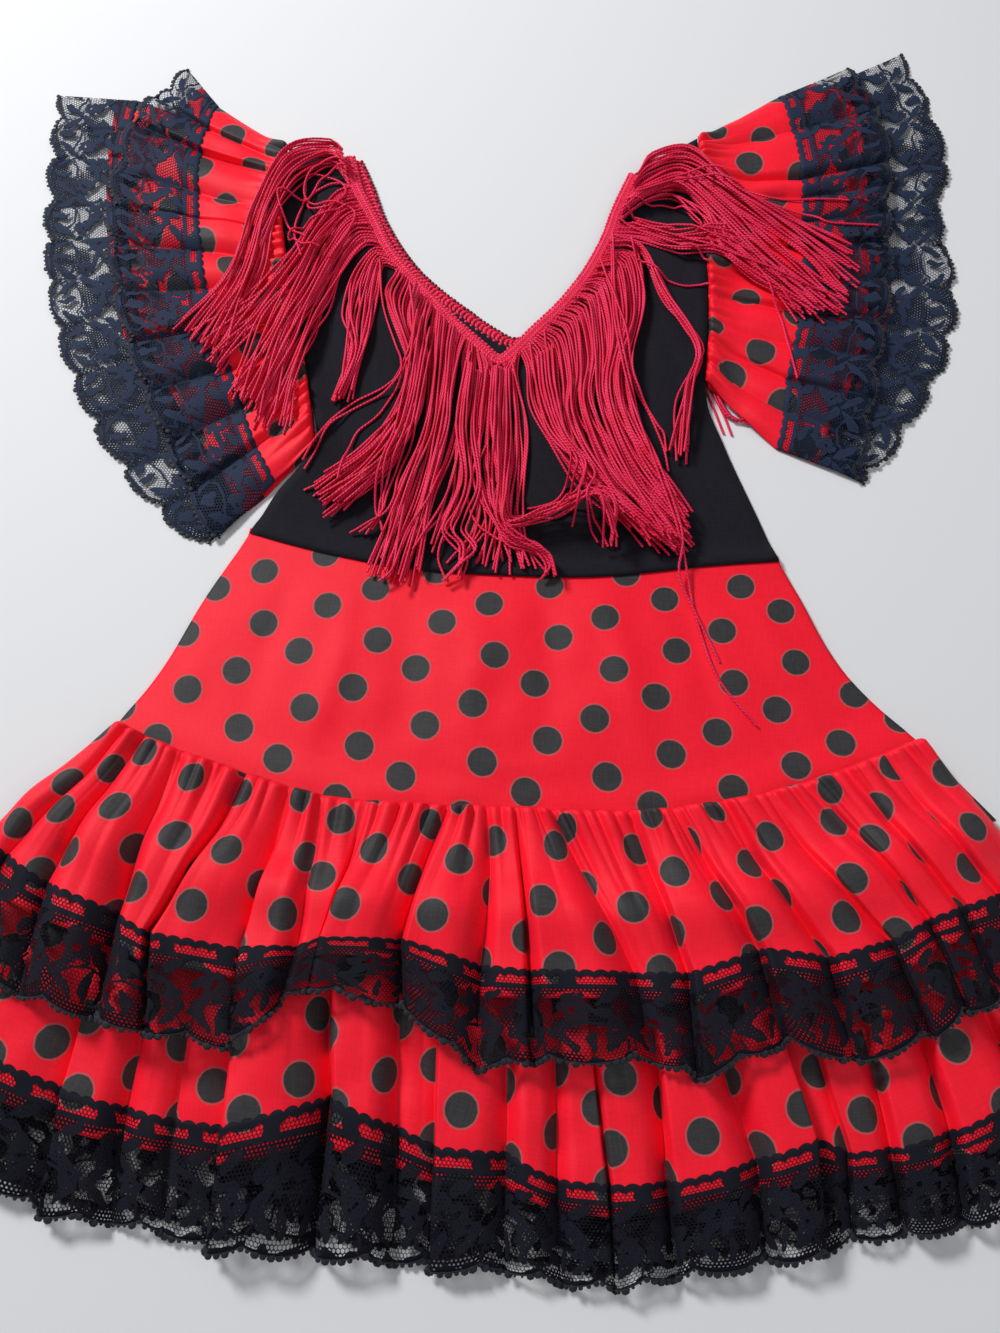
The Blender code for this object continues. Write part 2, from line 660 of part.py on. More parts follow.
def build_sleeve_fronts(finishes):
    for side, sleeve in SLEEVES.items():
        valleys = sleeve_valleys(sleeve, "head", "edge", 1.0)
        flounce("sleeve_front_" + side, valleys, 3, 2, SLEEVE_RED_UNDER_LACE, finishes)


def spans(plan):
    # shares across and down a grid
    rows, columns = plan.shape[:2]
    return np.linspace(0.0, 1.0, columns)[None, :], np.linspace(0.0, 1.0, rows)[:, None]


def build_skirt_front(finishes):
    drop_rows = 2
    plan = skirt_plan(17, 7, drop_rows)
    u, v = spans(plan)
    v = np.minimum(v * len(plan) / (len(plan) - drop_rows), 1.0)
    loft = SKIRT_LOFT * np.sin(math.pi * u) ** 0.7 * np.sin(math.pi * v) ** 0.7
    crease = SKIRT_CREASE * np.sin(7.3 * math.pi * u + 1.1 * v + 0.6) * np.sin(math.pi * v)
    top = lay(plan, COTTON, loft + np.maximum(crease, 0.0))
    wall("skirt_front", top, COTTON, finishes["dotted"])


def build_bodice_front(finishes):
    plan = bodice_plan(NECK_LEFT, NECK_RIGHT, 7)
    u, v = spans(plan)
    loft = BODICE_LOFT * np.sin(math.pi * u) * np.sin(math.pi * v)
    wall("bodice_front", lay(plan, JERSEY, loft), JERSEY, finishes["jersey"])


def build_dress():
    finishes = {
        "jersey": material("black_jersey", JERSEY_COLOUR, 0.85),
        "dotted": material("dotted_cotton", DOTTED_RED, 0.7),
        "lace": material("black_lace", LACE_COLOUR, 0.8),
        "cord": material("crimson_fringe", FRINGE_COLOUR, 0.45),
    }
    build_tier_backs(finishes)
    wall("skirt_back", lay(skirt_plan(9, 5, 2), COTTON), COTTON, finishes["dotted"])
    fringe("fringe_back", BACK_NECK_LEFT, BACK_NECK_RIGHT, BACK_LOCKS, BACK_CORDS, 1,
           finishes["cord"], on_floor=True)
    build_sleeve_backs(finishes)
    plan = bodice_plan(BACK_NECK_LEFT, BACK_NECK_RIGHT, 4)
    wall("bodice_back", lay(plan, JERSEY), JERSEY, finishes["jersey"])
    build_skirt_front(finishes)
    build_bodice_front(finishes)
    build_tier_fronts(finishes)
    build_sleeve_fronts(finishes)
    fringe("fringe_front", NECK_LEFT, NECK_RIGHT, FRONT_LOCKS, FRONT_CORDS, 3,
           finishes["cord"])


def centre_on_floor():
    # move the whole dress so that its footprint is centred on the origin
    points = [vertex.co.copy() for made in bpy.data.objects for vertex in made.data.vertices]
    low = [min(point[n] for point in points) for n in range(3)]
    high = [max(point[n] for point in points) for n in range(3)]
    shift = Vector((-(low[0] + high[0]) / 2, -(low[1] + high[1]) / 2, -low[2]))
    for made in bpy.data.objects:
        for vertex in made.data.vertices:
            vertex.co += shift
    print("datum of the outlines lies at", [round(c / MM, 2) for c in shift])


for old in list(bpy.data.objects):
    bpy.data.objects.remove(old)
build_dress()
centre_on_floor()
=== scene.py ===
import math

import bpy
import numpy as np
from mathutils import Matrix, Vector


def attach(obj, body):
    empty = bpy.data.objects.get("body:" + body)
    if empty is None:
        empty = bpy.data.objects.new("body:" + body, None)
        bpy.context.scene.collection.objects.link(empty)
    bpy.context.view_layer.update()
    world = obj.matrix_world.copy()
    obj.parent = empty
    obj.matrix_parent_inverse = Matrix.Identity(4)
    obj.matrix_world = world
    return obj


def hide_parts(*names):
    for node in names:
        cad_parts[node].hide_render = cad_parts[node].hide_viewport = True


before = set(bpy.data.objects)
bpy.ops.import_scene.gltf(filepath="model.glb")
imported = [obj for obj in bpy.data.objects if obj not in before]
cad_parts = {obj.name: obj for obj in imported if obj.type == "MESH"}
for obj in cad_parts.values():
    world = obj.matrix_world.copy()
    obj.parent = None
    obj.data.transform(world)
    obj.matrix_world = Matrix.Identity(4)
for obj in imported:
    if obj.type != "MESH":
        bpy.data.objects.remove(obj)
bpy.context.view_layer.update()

# A girl's flamenco dress laid out flat: sizes below are in mm, with x to the right,
# y towards the neck and z up from the floor.
mm = 0.001
outlineOrigin = (2.33, -93.80)  # where the outlines' zero lies in the frame
cordSeed = 7
rng = np.random.default_rng(cordSeed)  # every cord's small wandering is drawn from this

dress = {
    "cottonWall": 0.45,
    "laceWall": 0.35,
    "jerseyWall": 0.8,
    "layerGap": 0.25,  # air between two cloths that touch
    "laceLift": 0.45,  # how far the lace stands off the red cloth it is sewn on
    "lap": 4.0,  # how far one piece reaches over the next at a seam
    "baseDrop": 60.0,  # hidden skirt that the second tier hangs from
    "foldCentre": (0.0, 250.0),  # the folds fan out from here
}

outlines = {
    "waist": [(-157, 88), (-125, 78), (-81, 67), (-43, 61), (0, 58), (62, 57), (124, 64),
              (173, 68)],
    "tierSeam": [(-222, -37), (-194, -51), (-141, -70), (-84, -84), (0, -88), (56, -91),
                 (112, -87), (169, -75), (216, -58), (241, -48)],
    "skirtLeft": [(-157, 88), (-181, 43), (-200, 0), (-222, -37)],
    "skirtRight": [(173, 68), (184, 43), (197, 10), (212, -15), (241, -48)],
    "sideLeft": [(-157, 88), (-144, 116), (-129, 138), (-119, 157)],
    "sideRight": [(173, 68), (164, 98), (147, 151), (136, 197)],
    "armholeLeft": [(-119, 157), (-127, 197), (-137, 246), (-150, 307), (-158, 362), (-156, 409)],
    "armholeRight": [(136, 197), (143, 254), (145, 307), (145, 362), (147, 419)],
    "shoulderLeft": [(-156, 409), (-134, 411), (-107, 402)],
    "shoulderRight": [(94, 384), (123, 406), (147, 419)],
    "neckLeft": [(-107, 402), (-100, 372), (-88, 345), (-75, 315), (-55, 287), (-28, 252),
                 (0, 222)],
    "neckRight": [(0, 222), (20, 245), (40, 268), (58, 295), (72, 325), (80, 350), (94, 384)],
    "backNeckLeft": [(-102, 401), (-92, 375), (-80, 340), (-55, 297), (-15, 258), (8, 240)],
    "backNeckRight": [(8, 240), (27, 244), (45, 266), (63, 293), (77, 323), (86, 350), (99, 387)],
}


def curveThrough(points, count):
    # count points, evenly spaced, on a smooth curve through the given ones
    knots = np.array(points, dtype=float)
    ends = np.vstack([2 * knots[0] - knots[1], knots, 2 * knots[-1] - knots[-2]])
    steps = np.linspace(0.0, 1.0, 12, endpoint=False)[:, None]
    dense = []
    for a, b, c, d in zip(ends, ends[1:], ends[2:], ends[3:]):
        dense.append(0.5 * (2 * b + (c - a) * steps + (2 * a - 5 * b + 4 * c - d) * steps ** 2
                            + (3 * b - a - 3 * c + d) * steps ** 3))
    dense = np.vstack(dense + [knots[-1:]])
    travelled = np.concatenate([[0.0], np.cumsum(np.linalg.norm(np.diff(dense, axis=0), axis=1))])
    wanted = np.linspace(0.0, travelled[-1], count)
    return np.stack([np.interp(wanted, travelled, axis) for axis in dense.T], axis=1)


def pointAt(curve, share):
    # the point at this share of a curve's length
    places = np.linspace(0.0, 1.0, len(curve))
    return np.array([np.interp(share, places, axis) for axis in curve.T])


def patchGrid(bottom, top, left, right):
    # a grid filled in between four sides, rows from bottom to top
    u = np.linspace(0.0, 1.0, len(bottom))[None, :, None]
    v = np.linspace(0.0, 1.0, len(left))[:, None, None]
    ruled = (1 - v) * bottom[None] + v * top[None]
    sides = (1 - u) * left[:, None] + u * right[:, None]
    corners = ((1 - u) * (1 - v) * bottom[0] + u * (1 - v) * bottom[-1]
               + (1 - u) * v * top[0] + u * v * top[-1])
    return ruled + sides - corners


def smoothStep(value, low, high):
    # 0 up to low, 1 from high on, and a smooth way between
    t = np.clip((value - low) / (high - low), 0.0, 1.0)
    return t * t * (3 - 2 * t)


def windowed(values, half, pick):
    # each value replaced by what pick makes of it and its neighbours, half of them a side
    padded = np.pad(values, half, mode="edge")
    return pick([padded[k:k + len(values)] for k in range(2 * half + 1)], axis=0)


def inMetres(sizes):
    return tuple(size * mm for size in sizes)


def ripple(x, y, length, seed):
    # soft unevenness between about -1 and 1, its waves about length long
    draw = np.random.default_rng(seed)
    total = np.zeros_like(x)
    for _ in range(5):
        angle = draw.uniform(0, 2 * math.pi)
        size = length * draw.uniform(0.7, 1.6)
        turn = 2 * math.pi / size
        total += np.sin(turn * (math.cos(angle) * x + math.sin(angle) * y)
                        + draw.uniform(0, 2 * math.pi))
    return total / 3


class Ground:
    # the height of all that lies on the floor so far, on a grid of 1 mm squares
    def __init__(self, low, high):
        self.low = low
        self.height = np.zeros((high[1] - low[1] + 1, high[0] - low[0] + 1))

    def spread(self, reach):
        # every place takes the highest height within reach of it
        field = self.height
        for axis in (0, 1):
            field = np.max([np.roll(field, k, axis) for k in range(-reach, reach + 1)], axis=0)
        return field

    def draped(self, reach):
        # how cloth would lie on it: rounded off, and nowhere below it
        field = self.spread(reach)
        for axis in (0, 1):
            field = np.mean([np.roll(field, k, axis) for k in range(-reach, reach + 1)], axis=0)
        return field

    def read(self, field, x, y):
        # the field's height at each place, from the four squares round it
        across = np.clip(x - self.low[0], 0, field.shape[1] - 1.001)
        down = np.clip(y - self.low[1], 0, field.shape[0] - 1.001)
        i, j = down.astype(int), across.astype(int)
        a, b = down - i, across - j
        return ((1 - a) * (1 - b) * field[i, j] + (1 - a) * b * field[i, j + 1]
                + a * (1 - b) * field[i + 1, j] + a * b * field[i + 1, j + 1])

    def press(self, top, fill=0.7):
        # add a cloth's upper surface, given as a grid of points
        rows, cols = top.shape[:2]
        downStep = np.linalg.norm(np.diff(top, axis=0), axis=2).max() if rows > 1 else 1.0
        acrossStep = np.linalg.norm(np.diff(top, axis=1), axis=2).max()
        down = np.linspace(0, rows - 1, max(2, int((rows - 1) * max(1, downStep / fill))))
        across = np.linspace(0, cols - 1, max(2, int((cols - 1) * max(1, acrossStep / fill))))
        i = np.minimum(down.astype(int), max(rows - 2, 0))
        j = np.minimum(across.astype(int), cols - 2)
        a, b = (down - i)[:, None, None], (across - j)[None, :, None]
        i2 = np.minimum(i + 1, rows - 1)
        dense = ((1 - a) * ((1 - b) * top[i][:, j] + b * top[i][:, j + 1])
                 + a * ((1 - b) * top[i2][:, j] + b * top[i2][:, j + 1])).reshape(-1, 3)
        col = np.clip(np.rint(dense[:, 0] - self.low[0]), 0, self.height.shape[1] - 1).astype(int)
        row = np.clip(np.rint(dense[:, 1] - self.low[1]), 0, self.height.shape[0] - 1).astype(int)
        np.maximum.at(self.height, (row, col), dense[:, 2])


ground = Ground((-360, -345), (360, 535))


def gridNormals(top):
    # which way each point of a surface faces, always upwards on the whole
    down, across = np.gradient(top, axis=0), np.gradient(top, axis=1)
    normal = np.cross(across, down)
    normal /= np.linalg.norm(normal, axis=2)[:, :, None] + 1e-9
    return normal if normal[:, :, 2].sum() > 0 else -normal


def cornerValues(values):
    # a grid of points' values, given to the four corners of every face
    return np.stack([values[:-1, :-1], values[1:, :-1], values[1:, 1:], values[:-1, 1:]], axis=2)


def addObject(name, data):
    made = bpy.data.objects.new(name, data)
    bpy.context.collection.objects.link(made)
    return made


def makeCloth(name, top, corners, finish, wall):
    # a thin shell with this upper surface; corners holds the cloth's own coordinates
    rows, cols = top.shape[:2]
    index = np.arange(rows * cols).reshape(rows, cols)
    faces = cornerValues(index[:, :, None])[:, :, :, 0]
    a, b, c = (top.reshape(-1, 3)[faces[:, :, k].reshape(-1)] for k in (0, 1, 2))
    if np.cross(b - a, c - a)[:, 2].sum() < 0:
        faces, corners = faces[:, :, ::-1], corners[:, :, ::-1]
    placed = (top.reshape(-1, 3) + (*outlineOrigin, 0.0)) * mm
    mesh = bpy.data.meshes.new(name)
    mesh.from_pydata(placed.tolist(), [], faces.reshape(-1, 4).tolist())
    layer = mesh.uv_layers.new(name="cloth")
    layer.data.foreach_set("uv", (corners.reshape(-1) * mm).tolist())
    mesh.polygons.foreach_set("use_smooth", [True] * len(mesh.polygons))
    mesh.materials.append(finish)
    mesh.update()
    made = addObject(name, mesh)
    shell = made.modifiers.new("wall", "SOLIDIFY")
    shell.thickness = wall * mm
    shell.offset = -1.0
    return made


# finishes: helpers for the shader trees, then one group for each effect that is shared

def addGroup(name, inputs, outputs):
    group = bpy.data.node_groups.new(name, "ShaderNodeTree")
    for label, kind, value in inputs:
        socket = group.interface.new_socket(label, in_out="INPUT", socket_type=kind)
        if value is not None:
            socket.default_value = value
    for label, kind in outputs:
        group.interface.new_socket(label, in_out="OUTPUT", socket_type=kind)
    return group, group.nodes.new("NodeGroupInput"), group.nodes.new("NodeGroupOutput")


def wire(tree, value, socket):
    # give a socket another one's value, or a plain number
    if isinstance(value, bpy.types.NodeSocket):
        tree.links.new(value, socket)
    else:
        socket.default_value = value


def calc(tree, operation, *values, clamp=False):
    # one step of arithmetic on sockets or numbers
    node = tree.nodes.new("ShaderNodeMath")
    node.operation = operation
    node.use_clamp = clamp
    for value, socket in zip(values, node.inputs):
        wire(tree, value, socket)
    return node.outputs[0]


def fade(tree, value, low, high, start=0.0, end=1.0):
    # smooth step from start to end while value goes from low to high
    node = tree.nodes.new("ShaderNodeMapRange")
    node.interpolation_type = "SMOOTHSTEP"
    for item, socket in zip((value, low, high, start, end), node.inputs):
        wire(tree, item, socket)
    return node.outputs[0]


def noise(tree, vector, scale, detail=2.0, flat=False):
    # flat noise takes less time, for places on a cloth
    node = tree.nodes.new("ShaderNodeTexNoise")
    node.noise_dimensions = "2D" if flat else "3D"
    wire(tree, vector, node.inputs["Vector"])
    node.inputs["Scale"].default_value = scale
    node.inputs["Detail"].default_value = detail
    return node.outputs["Fac"]


def mixColour(tree, factor, first, second):
    node = tree.nodes.new("ShaderNodeMix")
    node.data_type = "RGBA"
    wire(tree, factor, node.inputs[0])
    for value, socket in ((first, node.inputs[6]), (second, node.inputs[7])):
        wire(tree, (*value, 1.0) if isinstance(value, tuple) else value, socket)
    return node.outputs[2]


def inMillimetres(tree, vector):
    # the first two values of a place, in mm
    parts = tree.nodes.new("ShaderNodeSeparateXYZ")
    wire(tree, vector, parts.inputs[0])
    return [calc(tree, "MULTIPLY", parts.outputs[k], 1000.0) for k in (0, 1)]


dotPrint = {
    "cell": (71.0, 65.5),  # the print repeats at this size
    "places": [(0.0, 0.0), (0.492, 0.265), (0.854, 0.482), (0.368, 0.752)],  # across, down
    "radius": 8.5,
    "ring": 0.9,
}


def buildDotGroup():
    # masks of the round dots and of the thin ring that is left round each of them
    group, given, put = addGroup(
        "dotMasks", [("Cloth", "NodeSocketVector", None),
                     ("Radius", "NodeSocketFloat", dotPrint["radius"]),
                     ("Ring", "NodeSocketFloat", dotPrint["ring"])],
        [("Dot", "NodeSocketFloat"), ("Outline", "NodeSocketFloat")])
    u, v = inMillimetres(group, given.outputs["Cloth"])
    wide, high = dotPrint["cell"]
    least = 1e6
    for across, down in dotPrint["places"]:
        du = calc(group, "WRAP", calc(group, "SUBTRACT", u, across * wide), wide / 2, -wide / 2)
        dv = calc(group, "WRAP", calc(group, "ADD", v, down * high), high / 2, -high / 2)
        squared = calc(group, "ADD", calc(group, "MULTIPLY", du, du),
                       calc(group, "MULTIPLY", dv, dv))
        least = calc(group, "MINIMUM", squared, least)
    distance = calc(group, "SQRT", least)
    wobble = noise(group, given.outputs["Cloth"], 420.0, 1.0, flat=True)
    distance = calc(group, "MULTIPLY_ADD", wobble, 0.5, distance)
    inner = given.outputs["Radius"]
    outer = calc(group, "ADD", inner, given.outputs["Ring"])
    dot = fade(group, distance, calc(group, "SUBTRACT", inner, 0.2),
               calc(group, "ADD", inner, 0.25), 1.0, 0.0)
    disc = fade(group, distance, calc(group, "SUBTRACT", outer, 0.25),
                calc(group, "ADD", outer, 0.25), 1.0, 0.0)
    group.links.new(dot, put.inputs["Dot"])
    group.links.new(calc(group, "SUBTRACT", disc, dot, clamp=True), put.inputs["Outline"])
    return group


def buildWeaveGroup():
    # threads of a cloth: their relief, and the slubs that shade it a little
    group, given, put = addGroup(
        "clothThreads", [("Cloth", "NodeSocketVector", None), ("Pitch", "NodeSocketFloat", 0.5),
                         ("Slub Length", "NodeSocketFloat", 12.0)],
        [("Relief", "NodeSocketFloat"), ("Slub", "NodeSocketFloat")])
    u, v = inMillimetres(group, given.outputs["Cloth"])
    turn = calc(group, "DIVIDE", 2 * math.pi, given.outputs["Pitch"])
    waves = [calc(group, "SINE", calc(group, "MULTIPLY", side, turn)) for side in (u, v)]
    group.links.new(calc(group, "MULTIPLY", *waves), put.inputs["Relief"])
    streaks = 0.0
    for along, across in ((u, v), (v, u)):
        place = group.nodes.new("ShaderNodeCombineXYZ")
        group.links.new(calc(group, "DIVIDE", along, given.outputs["Slub Length"]),
                        place.inputs[0])
        group.links.new(across, place.inputs[1])
        streaks = calc(group, "ADD", noise(group, place.outputs[0], 1.1, 3.0, flat=True), streaks)
    group.links.new(calc(group, "MULTIPLY", streaks, 0.5), put.inputs["Slub"])
    return group


lacePattern = {
    "scallop": 40.0,  # pitch of the free edge's scallops and of the motifs
    "sway": (9.0, -8.0),  # how far the motifs are bent out of line, along and across
    "headerScallop": 7.4,
    "headerDip": (2.0, -1.9),  # the header's upper edge, between two scallops and on one
    "rowTop": (6.2, -2.4),  # the same for the upper edge of the row of windows
    "rowFoot": (9.2, 9.7),
    "bandFoot": (10.9, 1.5),  # and for the lower edge of the band below them
    "bay": (2.85, 3.0, 4.1),  # a group of windows starts and ends to close here, and repeats
    "net": 2.1,  # width of a cell
    "openThread": 0.12,  # half width of the net's threads
    "denseThread": 0.5,  # the same where it is drawn close
    "motifThread": 0.78,  # the same in a flower or a leaf
    "border": 1.7,
    "borderRough": -9.0,
    "fan": ((0.0, 2.0), (17.5, 20.0)),  # middle and half sizes, up from the free edge
    "flowers": [((-6.5, 24.0), 10.0, 6), ((13.0, 36.0), 6.5, 5)],  # middle, radius, petals
    "leaves": [  # middle, half length and half width, turn in degrees
        ((8.0, 27.5), (8.0, 2.6), 28), ((11.0, 17.0), (6.5, 2.8), -32),
        ((-15.0, 37.0), (7.0, 2.5), -52)],
    "edgeLeaves": [  # the same, measured up from the free edge
        ((-12.5, 12.0), (8.0, 2.5), -46), ((13.5, 12.0), (8.0, 2.5), 46),
        ((0.0, 11.5), (6.0, 2.2), 86)],
}


def ellipseGap(tree, u, v, centre, size, angle):
    # about how far a place lies outside a turned ellipse, in mm
    c, s = math.cos(math.radians(angle)), math.sin(math.radians(angle))
    x = calc(tree, "SUBTRACT", u, centre[0])
    y = calc(tree, "SUBTRACT", v, centre[1])
    along = calc(tree, "MULTIPLY_ADD", x, c / size[0], calc(tree, "MULTIPLY", y, s / size[0]))
    across = calc(tree, "MULTIPLY_ADD", y, c / size[1], calc(tree, "MULTIPLY", x, -s / size[1]))
    reach = calc(tree, "SQRT", calc(tree, "MULTIPLY_ADD", along, along,
                                    calc(tree, "MULTIPLY", across, across)))
    return calc(tree, "MULTIPLY_ADD", reach, size[1], -size[1])


def flowerGap(tree, u, v, centre, radius, petals):
    # how far a place lies outside a flower with round petals, in mm
    x = calc(tree, "SUBTRACT", u, centre[0])
    y = calc(tree, "SUBTRACT", v, centre[1])
    angle = calc(tree, "MULTIPLY", calc(tree, "ARCTAN2", y, x), petals / 2)
    lobe = calc(tree, "ABSOLUTE", calc(tree, "COSINE", angle))
    rim = calc(tree, "MULTIPLY_ADD", calc(tree, "POWER", lobe, 0.6), 0.52 * radius, 0.48 * radius)
    far = calc(tree, "SQRT", calc(tree, "MULTIPLY_ADD", x, x, calc(tree, "MULTIPLY", y, y)))
    heart = calc(tree, "SUBTRACT", 0.22 * radius, far)
    return calc(tree, "MAXIMUM", calc(tree, "SUBTRACT", far, rim), heart)


def nearest(tree, gaps):
    # the least of several distances
    total = gaps[0]
    for gap in gaps[1:]:
        total = calc(tree, "MINIMUM", total, gap)
    return total


def hexEdge(tree, u, v, cell):
    # distance from the middle of the nearest thread of a six-sided net, in mm
    rise = cell * math.sqrt(3.0)
    best = None
    for shift in (0.0, 0.5):
        x = calc(tree, "WRAP", calc(tree, "SUBTRACT", u, shift * cell), cell / 2, -cell / 2)
        y = calc(tree, "WRAP", calc(tree, "SUBTRACT", v, shift * rise), rise / 2, -rise / 2)
        x, y = (calc(tree, "ABSOLUTE", side) for side in (x, y))
        slant = calc(tree, "MULTIPLY_ADD", y, math.sqrt(0.75), calc(tree, "MULTIPLY", x, 0.5))
        middle = calc(tree, "MAXIMUM", x, slant)
        best = middle if best is None else calc(tree, "MINIMUM", best, middle)
    return calc(tree, "SUBTRACT", cell / 2, best)


def buildLaceGroup():
    # cover of a flower lace over its width: scalloped header, a row of small windows, net
    # with flowers and leaves that is drawn close in places, and a solid scalloped border
    group, given, put = addGroup(
        "flowerLace", [("Cloth", "NodeSocketVector", None), ("Width", "NodeSocketFloat", 52.0),
                       ("Closed", "NodeSocketFloat", 0.5)],
        [("Cover", "NodeSocketFloat"), ("Relief", "NodeSocketFloat")])
    place = given.outputs["Cloth"]
    uPlain, vPlain = inMillimetres(group, place)
    sway = calc(group, "SUBTRACT", noise(group, place, 120.0, 1.0, flat=True), 0.5)
    swayAlong, swayAcross = lacePattern["sway"]
    pitch = lacePattern["scallop"]
    u = calc(group, "MULTIPLY_ADD", sway, swayAlong, uPlain)
    u = calc(group, "WRAP", u, pitch / 2, -pitch / 2)
    v = calc(group, "MULTIPLY_ADD", sway, swayAcross, vPlain)
    fromEdge = calc(group, "SUBTRACT", given.outputs["Width"], vPlain)

    # the header, its row of windows and the band below them
    small = lacePattern["headerScallop"]
    arch = calc(group, "SINE", calc(group, "MULTIPLY", uPlain, math.pi / small))
    arch = calc(group, "POWER", calc(group, "ABSOLUTE", arch), 0.6)
    past = {}
    for part in ("headerDip", "rowTop", "bandFoot"):
        start, rise = lacePattern[part]
        line = calc(group, "MULTIPLY_ADD", arch, rise, start)
        past[part] = calc(group, "SUBTRACT", vPlain, line)
    trimmed = fade(group, past["headerDip"], -0.15, 0.15)
    inRow = calc(group, "MULTIPLY", fade(group, past["rowTop"], -0.2, 0.3),
                 fade(group, vPlain, *lacePattern["rowFoot"], 1.0, 0.0))
    closes, closed, repeats = (share * small for share in lacePattern["bay"])
    bays = calc(group, "WRAP", calc(group, "MULTIPLY_ADD", sway, 5.0, uPlain), repeats, 0.0)
    inRow = calc(group, "MULTIPLY", inRow, fade(group, bays, closes, closed, 1.0, 0.0))
    headBand = fade(group, past["bandFoot"], -0.2, 0.2, 1.0, 0.0)
    belowBand = calc(group, "SUBTRACT", 1.0, headBand)
    headSolid = calc(group, "MULTIPLY", headBand, calc(group, "SUBTRACT", 1.0, inRow))

    gaps = [flowerGap(group, u, v, *flower) for flower in lacePattern["flowers"]]
    gaps += [ellipseGap(group, u, v, *leaf) for leaf in lacePattern["leaves"]]
    gaps += [ellipseGap(group, u, fromEdge, *leaf) for leaf in lacePattern["edgeLeaves"]]
    gap = nearest(group, gaps)
    motif = fade(group, gap, -0.25, 0.15, 1.0, 0.0)
    rim = fade(group, calc(group, "ABSOLUTE", calc(group, "ADD", gap, 0.35)), 0.3, 0.6, 1.0, 0.0)

    # the free edge: a border of uneven width, and a fan in each scallop
    rough = calc(group, "MULTIPLY_ADD", sway, lacePattern["borderRough"], lacePattern["border"])
    border = fade(group, calc(group, "SUBTRACT", fromEdge, calc(group, "MAXIMUM", rough, 1.0)),
                  -0.2, 0.2, 1.0, 0.0)
    fan = ellipseGap(group, u, fromEdge, *lacePattern["fan"], 0)
    fanRim = fade(group, calc(group, "ABSOLUTE", fan), 0.35, 0.75, 1.0, 0.0)
    inFan = fade(group, fan, -0.5, 0.5, 1.0, 0.0)

    # the net is drawn close in some places, most of all along both edges, and lies open
    # in the fans
    drift = noise(group, place, 26.0, 1.0, flat=True)
    drift = calc(group, "MULTIPLY_ADD", inFan, -0.1, drift)
    drift = calc(group, "ADD", drift, fade(group, fromEdge, 2.0, 9.0, 0.13, 0.0))
    drift = calc(group, "ADD", drift, fade(group, vPlain, 11.0, 18.0, 0.20, 0.0))
    close = fade(group, calc(group, "ADD", drift, given.outputs["Closed"]), 0.94, 1.06)
    thread = fade(group, close, 0.0, 1.0, lacePattern["openThread"], lacePattern["denseThread"])
    thread = calc(group, "MAXIMUM", thread,
                  calc(group, "MULTIPLY", motif, lacePattern["motifThread"]))
    thread = calc(group, "MULTIPLY", thread, belowBand)
    thread = calc(group, "MULTIPLY_ADD", calc(group, "MULTIPLY", headBand, inRow),
                  lacePattern["openThread"], thread)
    body = calc(group, "MULTIPLY", belowBand, calc(group, "MAXIMUM", rim, fanRim))
    solid = calc(group, "MAXIMUM", calc(group, "MAXIMUM", headSolid, border), body)
    edge = hexEdge(group, uPlain, vPlain, lacePattern["net"])
    thread = calc(group, "MULTIPLY_ADD", solid, 2.0, thread)
    net = fade(group, calc(group, "SUBTRACT", edge, thread), -0.1, 0.1, 1.0, 0.0)
    group.links.new(calc(group, "MULTIPLY", net, trimmed), put.inputs["Cover"])
    # the relief only sets where the lace's colour is painted lighter, as highlight on its raised
    # parts
    raised = calc(group, "MAXIMUM", motif, solid)
    relief = calc(group, "MULTIPLY_ADD", raised, 0.6, calc(group, "MULTIPLY", net, 0.4))
    group.links.new(relief, put.inputs["Relief"])
    return group


groups = {"dots": buildDotGroup(), "threads": buildWeaveGroup(), "lace": buildLaceGroup()}


def startMaterial(name, roughness, sheen, sheenTint=(1.0, 1.0, 1.0)):
    made = bpy.data.materials.new(name)
    made.use_nodes = True
    tree = made.node_tree
    shader = tree.nodes["Principled BSDF"]
    shader.inputs["Roughness"].default_value = roughness
    shader.inputs["Specular IOR Level"].default_value = 0.2
    shader.inputs["Sheen Weight"].default_value = sheen
    shader.inputs["Sheen Roughness"].default_value = 0.5
    shader.inputs["Sheen Tint"].default_value = (*sheenTint, 1.0)
    return made, tree, shader


def placeGroup(tree, group, **values):
    node = tree.nodes.new("ShaderNodeGroup")
    node.node_tree = group
    for label, value in values.items():
        wire(tree, value, node.inputs[label])
    return node


def clothPlace(tree):
    node = tree.nodes.new("ShaderNodeUVMap")
    node.uv_map = "cloth"
    return node.outputs[0]


def addBump(tree, shader, height, distance, strength=1.0):
    node = tree.nodes.new("ShaderNodeBump")
    node.inputs["Strength"].default_value = strength
    node.inputs["Distance"].default_value = distance * mm
    tree.links.new(height, node.inputs["Height"])
    tree.links.new(node.outputs[0], shader.inputs["Normal"])


cotton = {  # each pair is the darker and the lighter streak
    "red": ((0.94, 0.006, 0.022), (1.0, 0.010, 0.036)),
    "grey": ((0.028, 0.028, 0.030), (0.044, 0.043, 0.046)),
    "ring": (0.42, 0.10, 0.105),
    "sheenTint": (1.0, 0.4, 0.45),
    "threadPitch": 0.55,
}


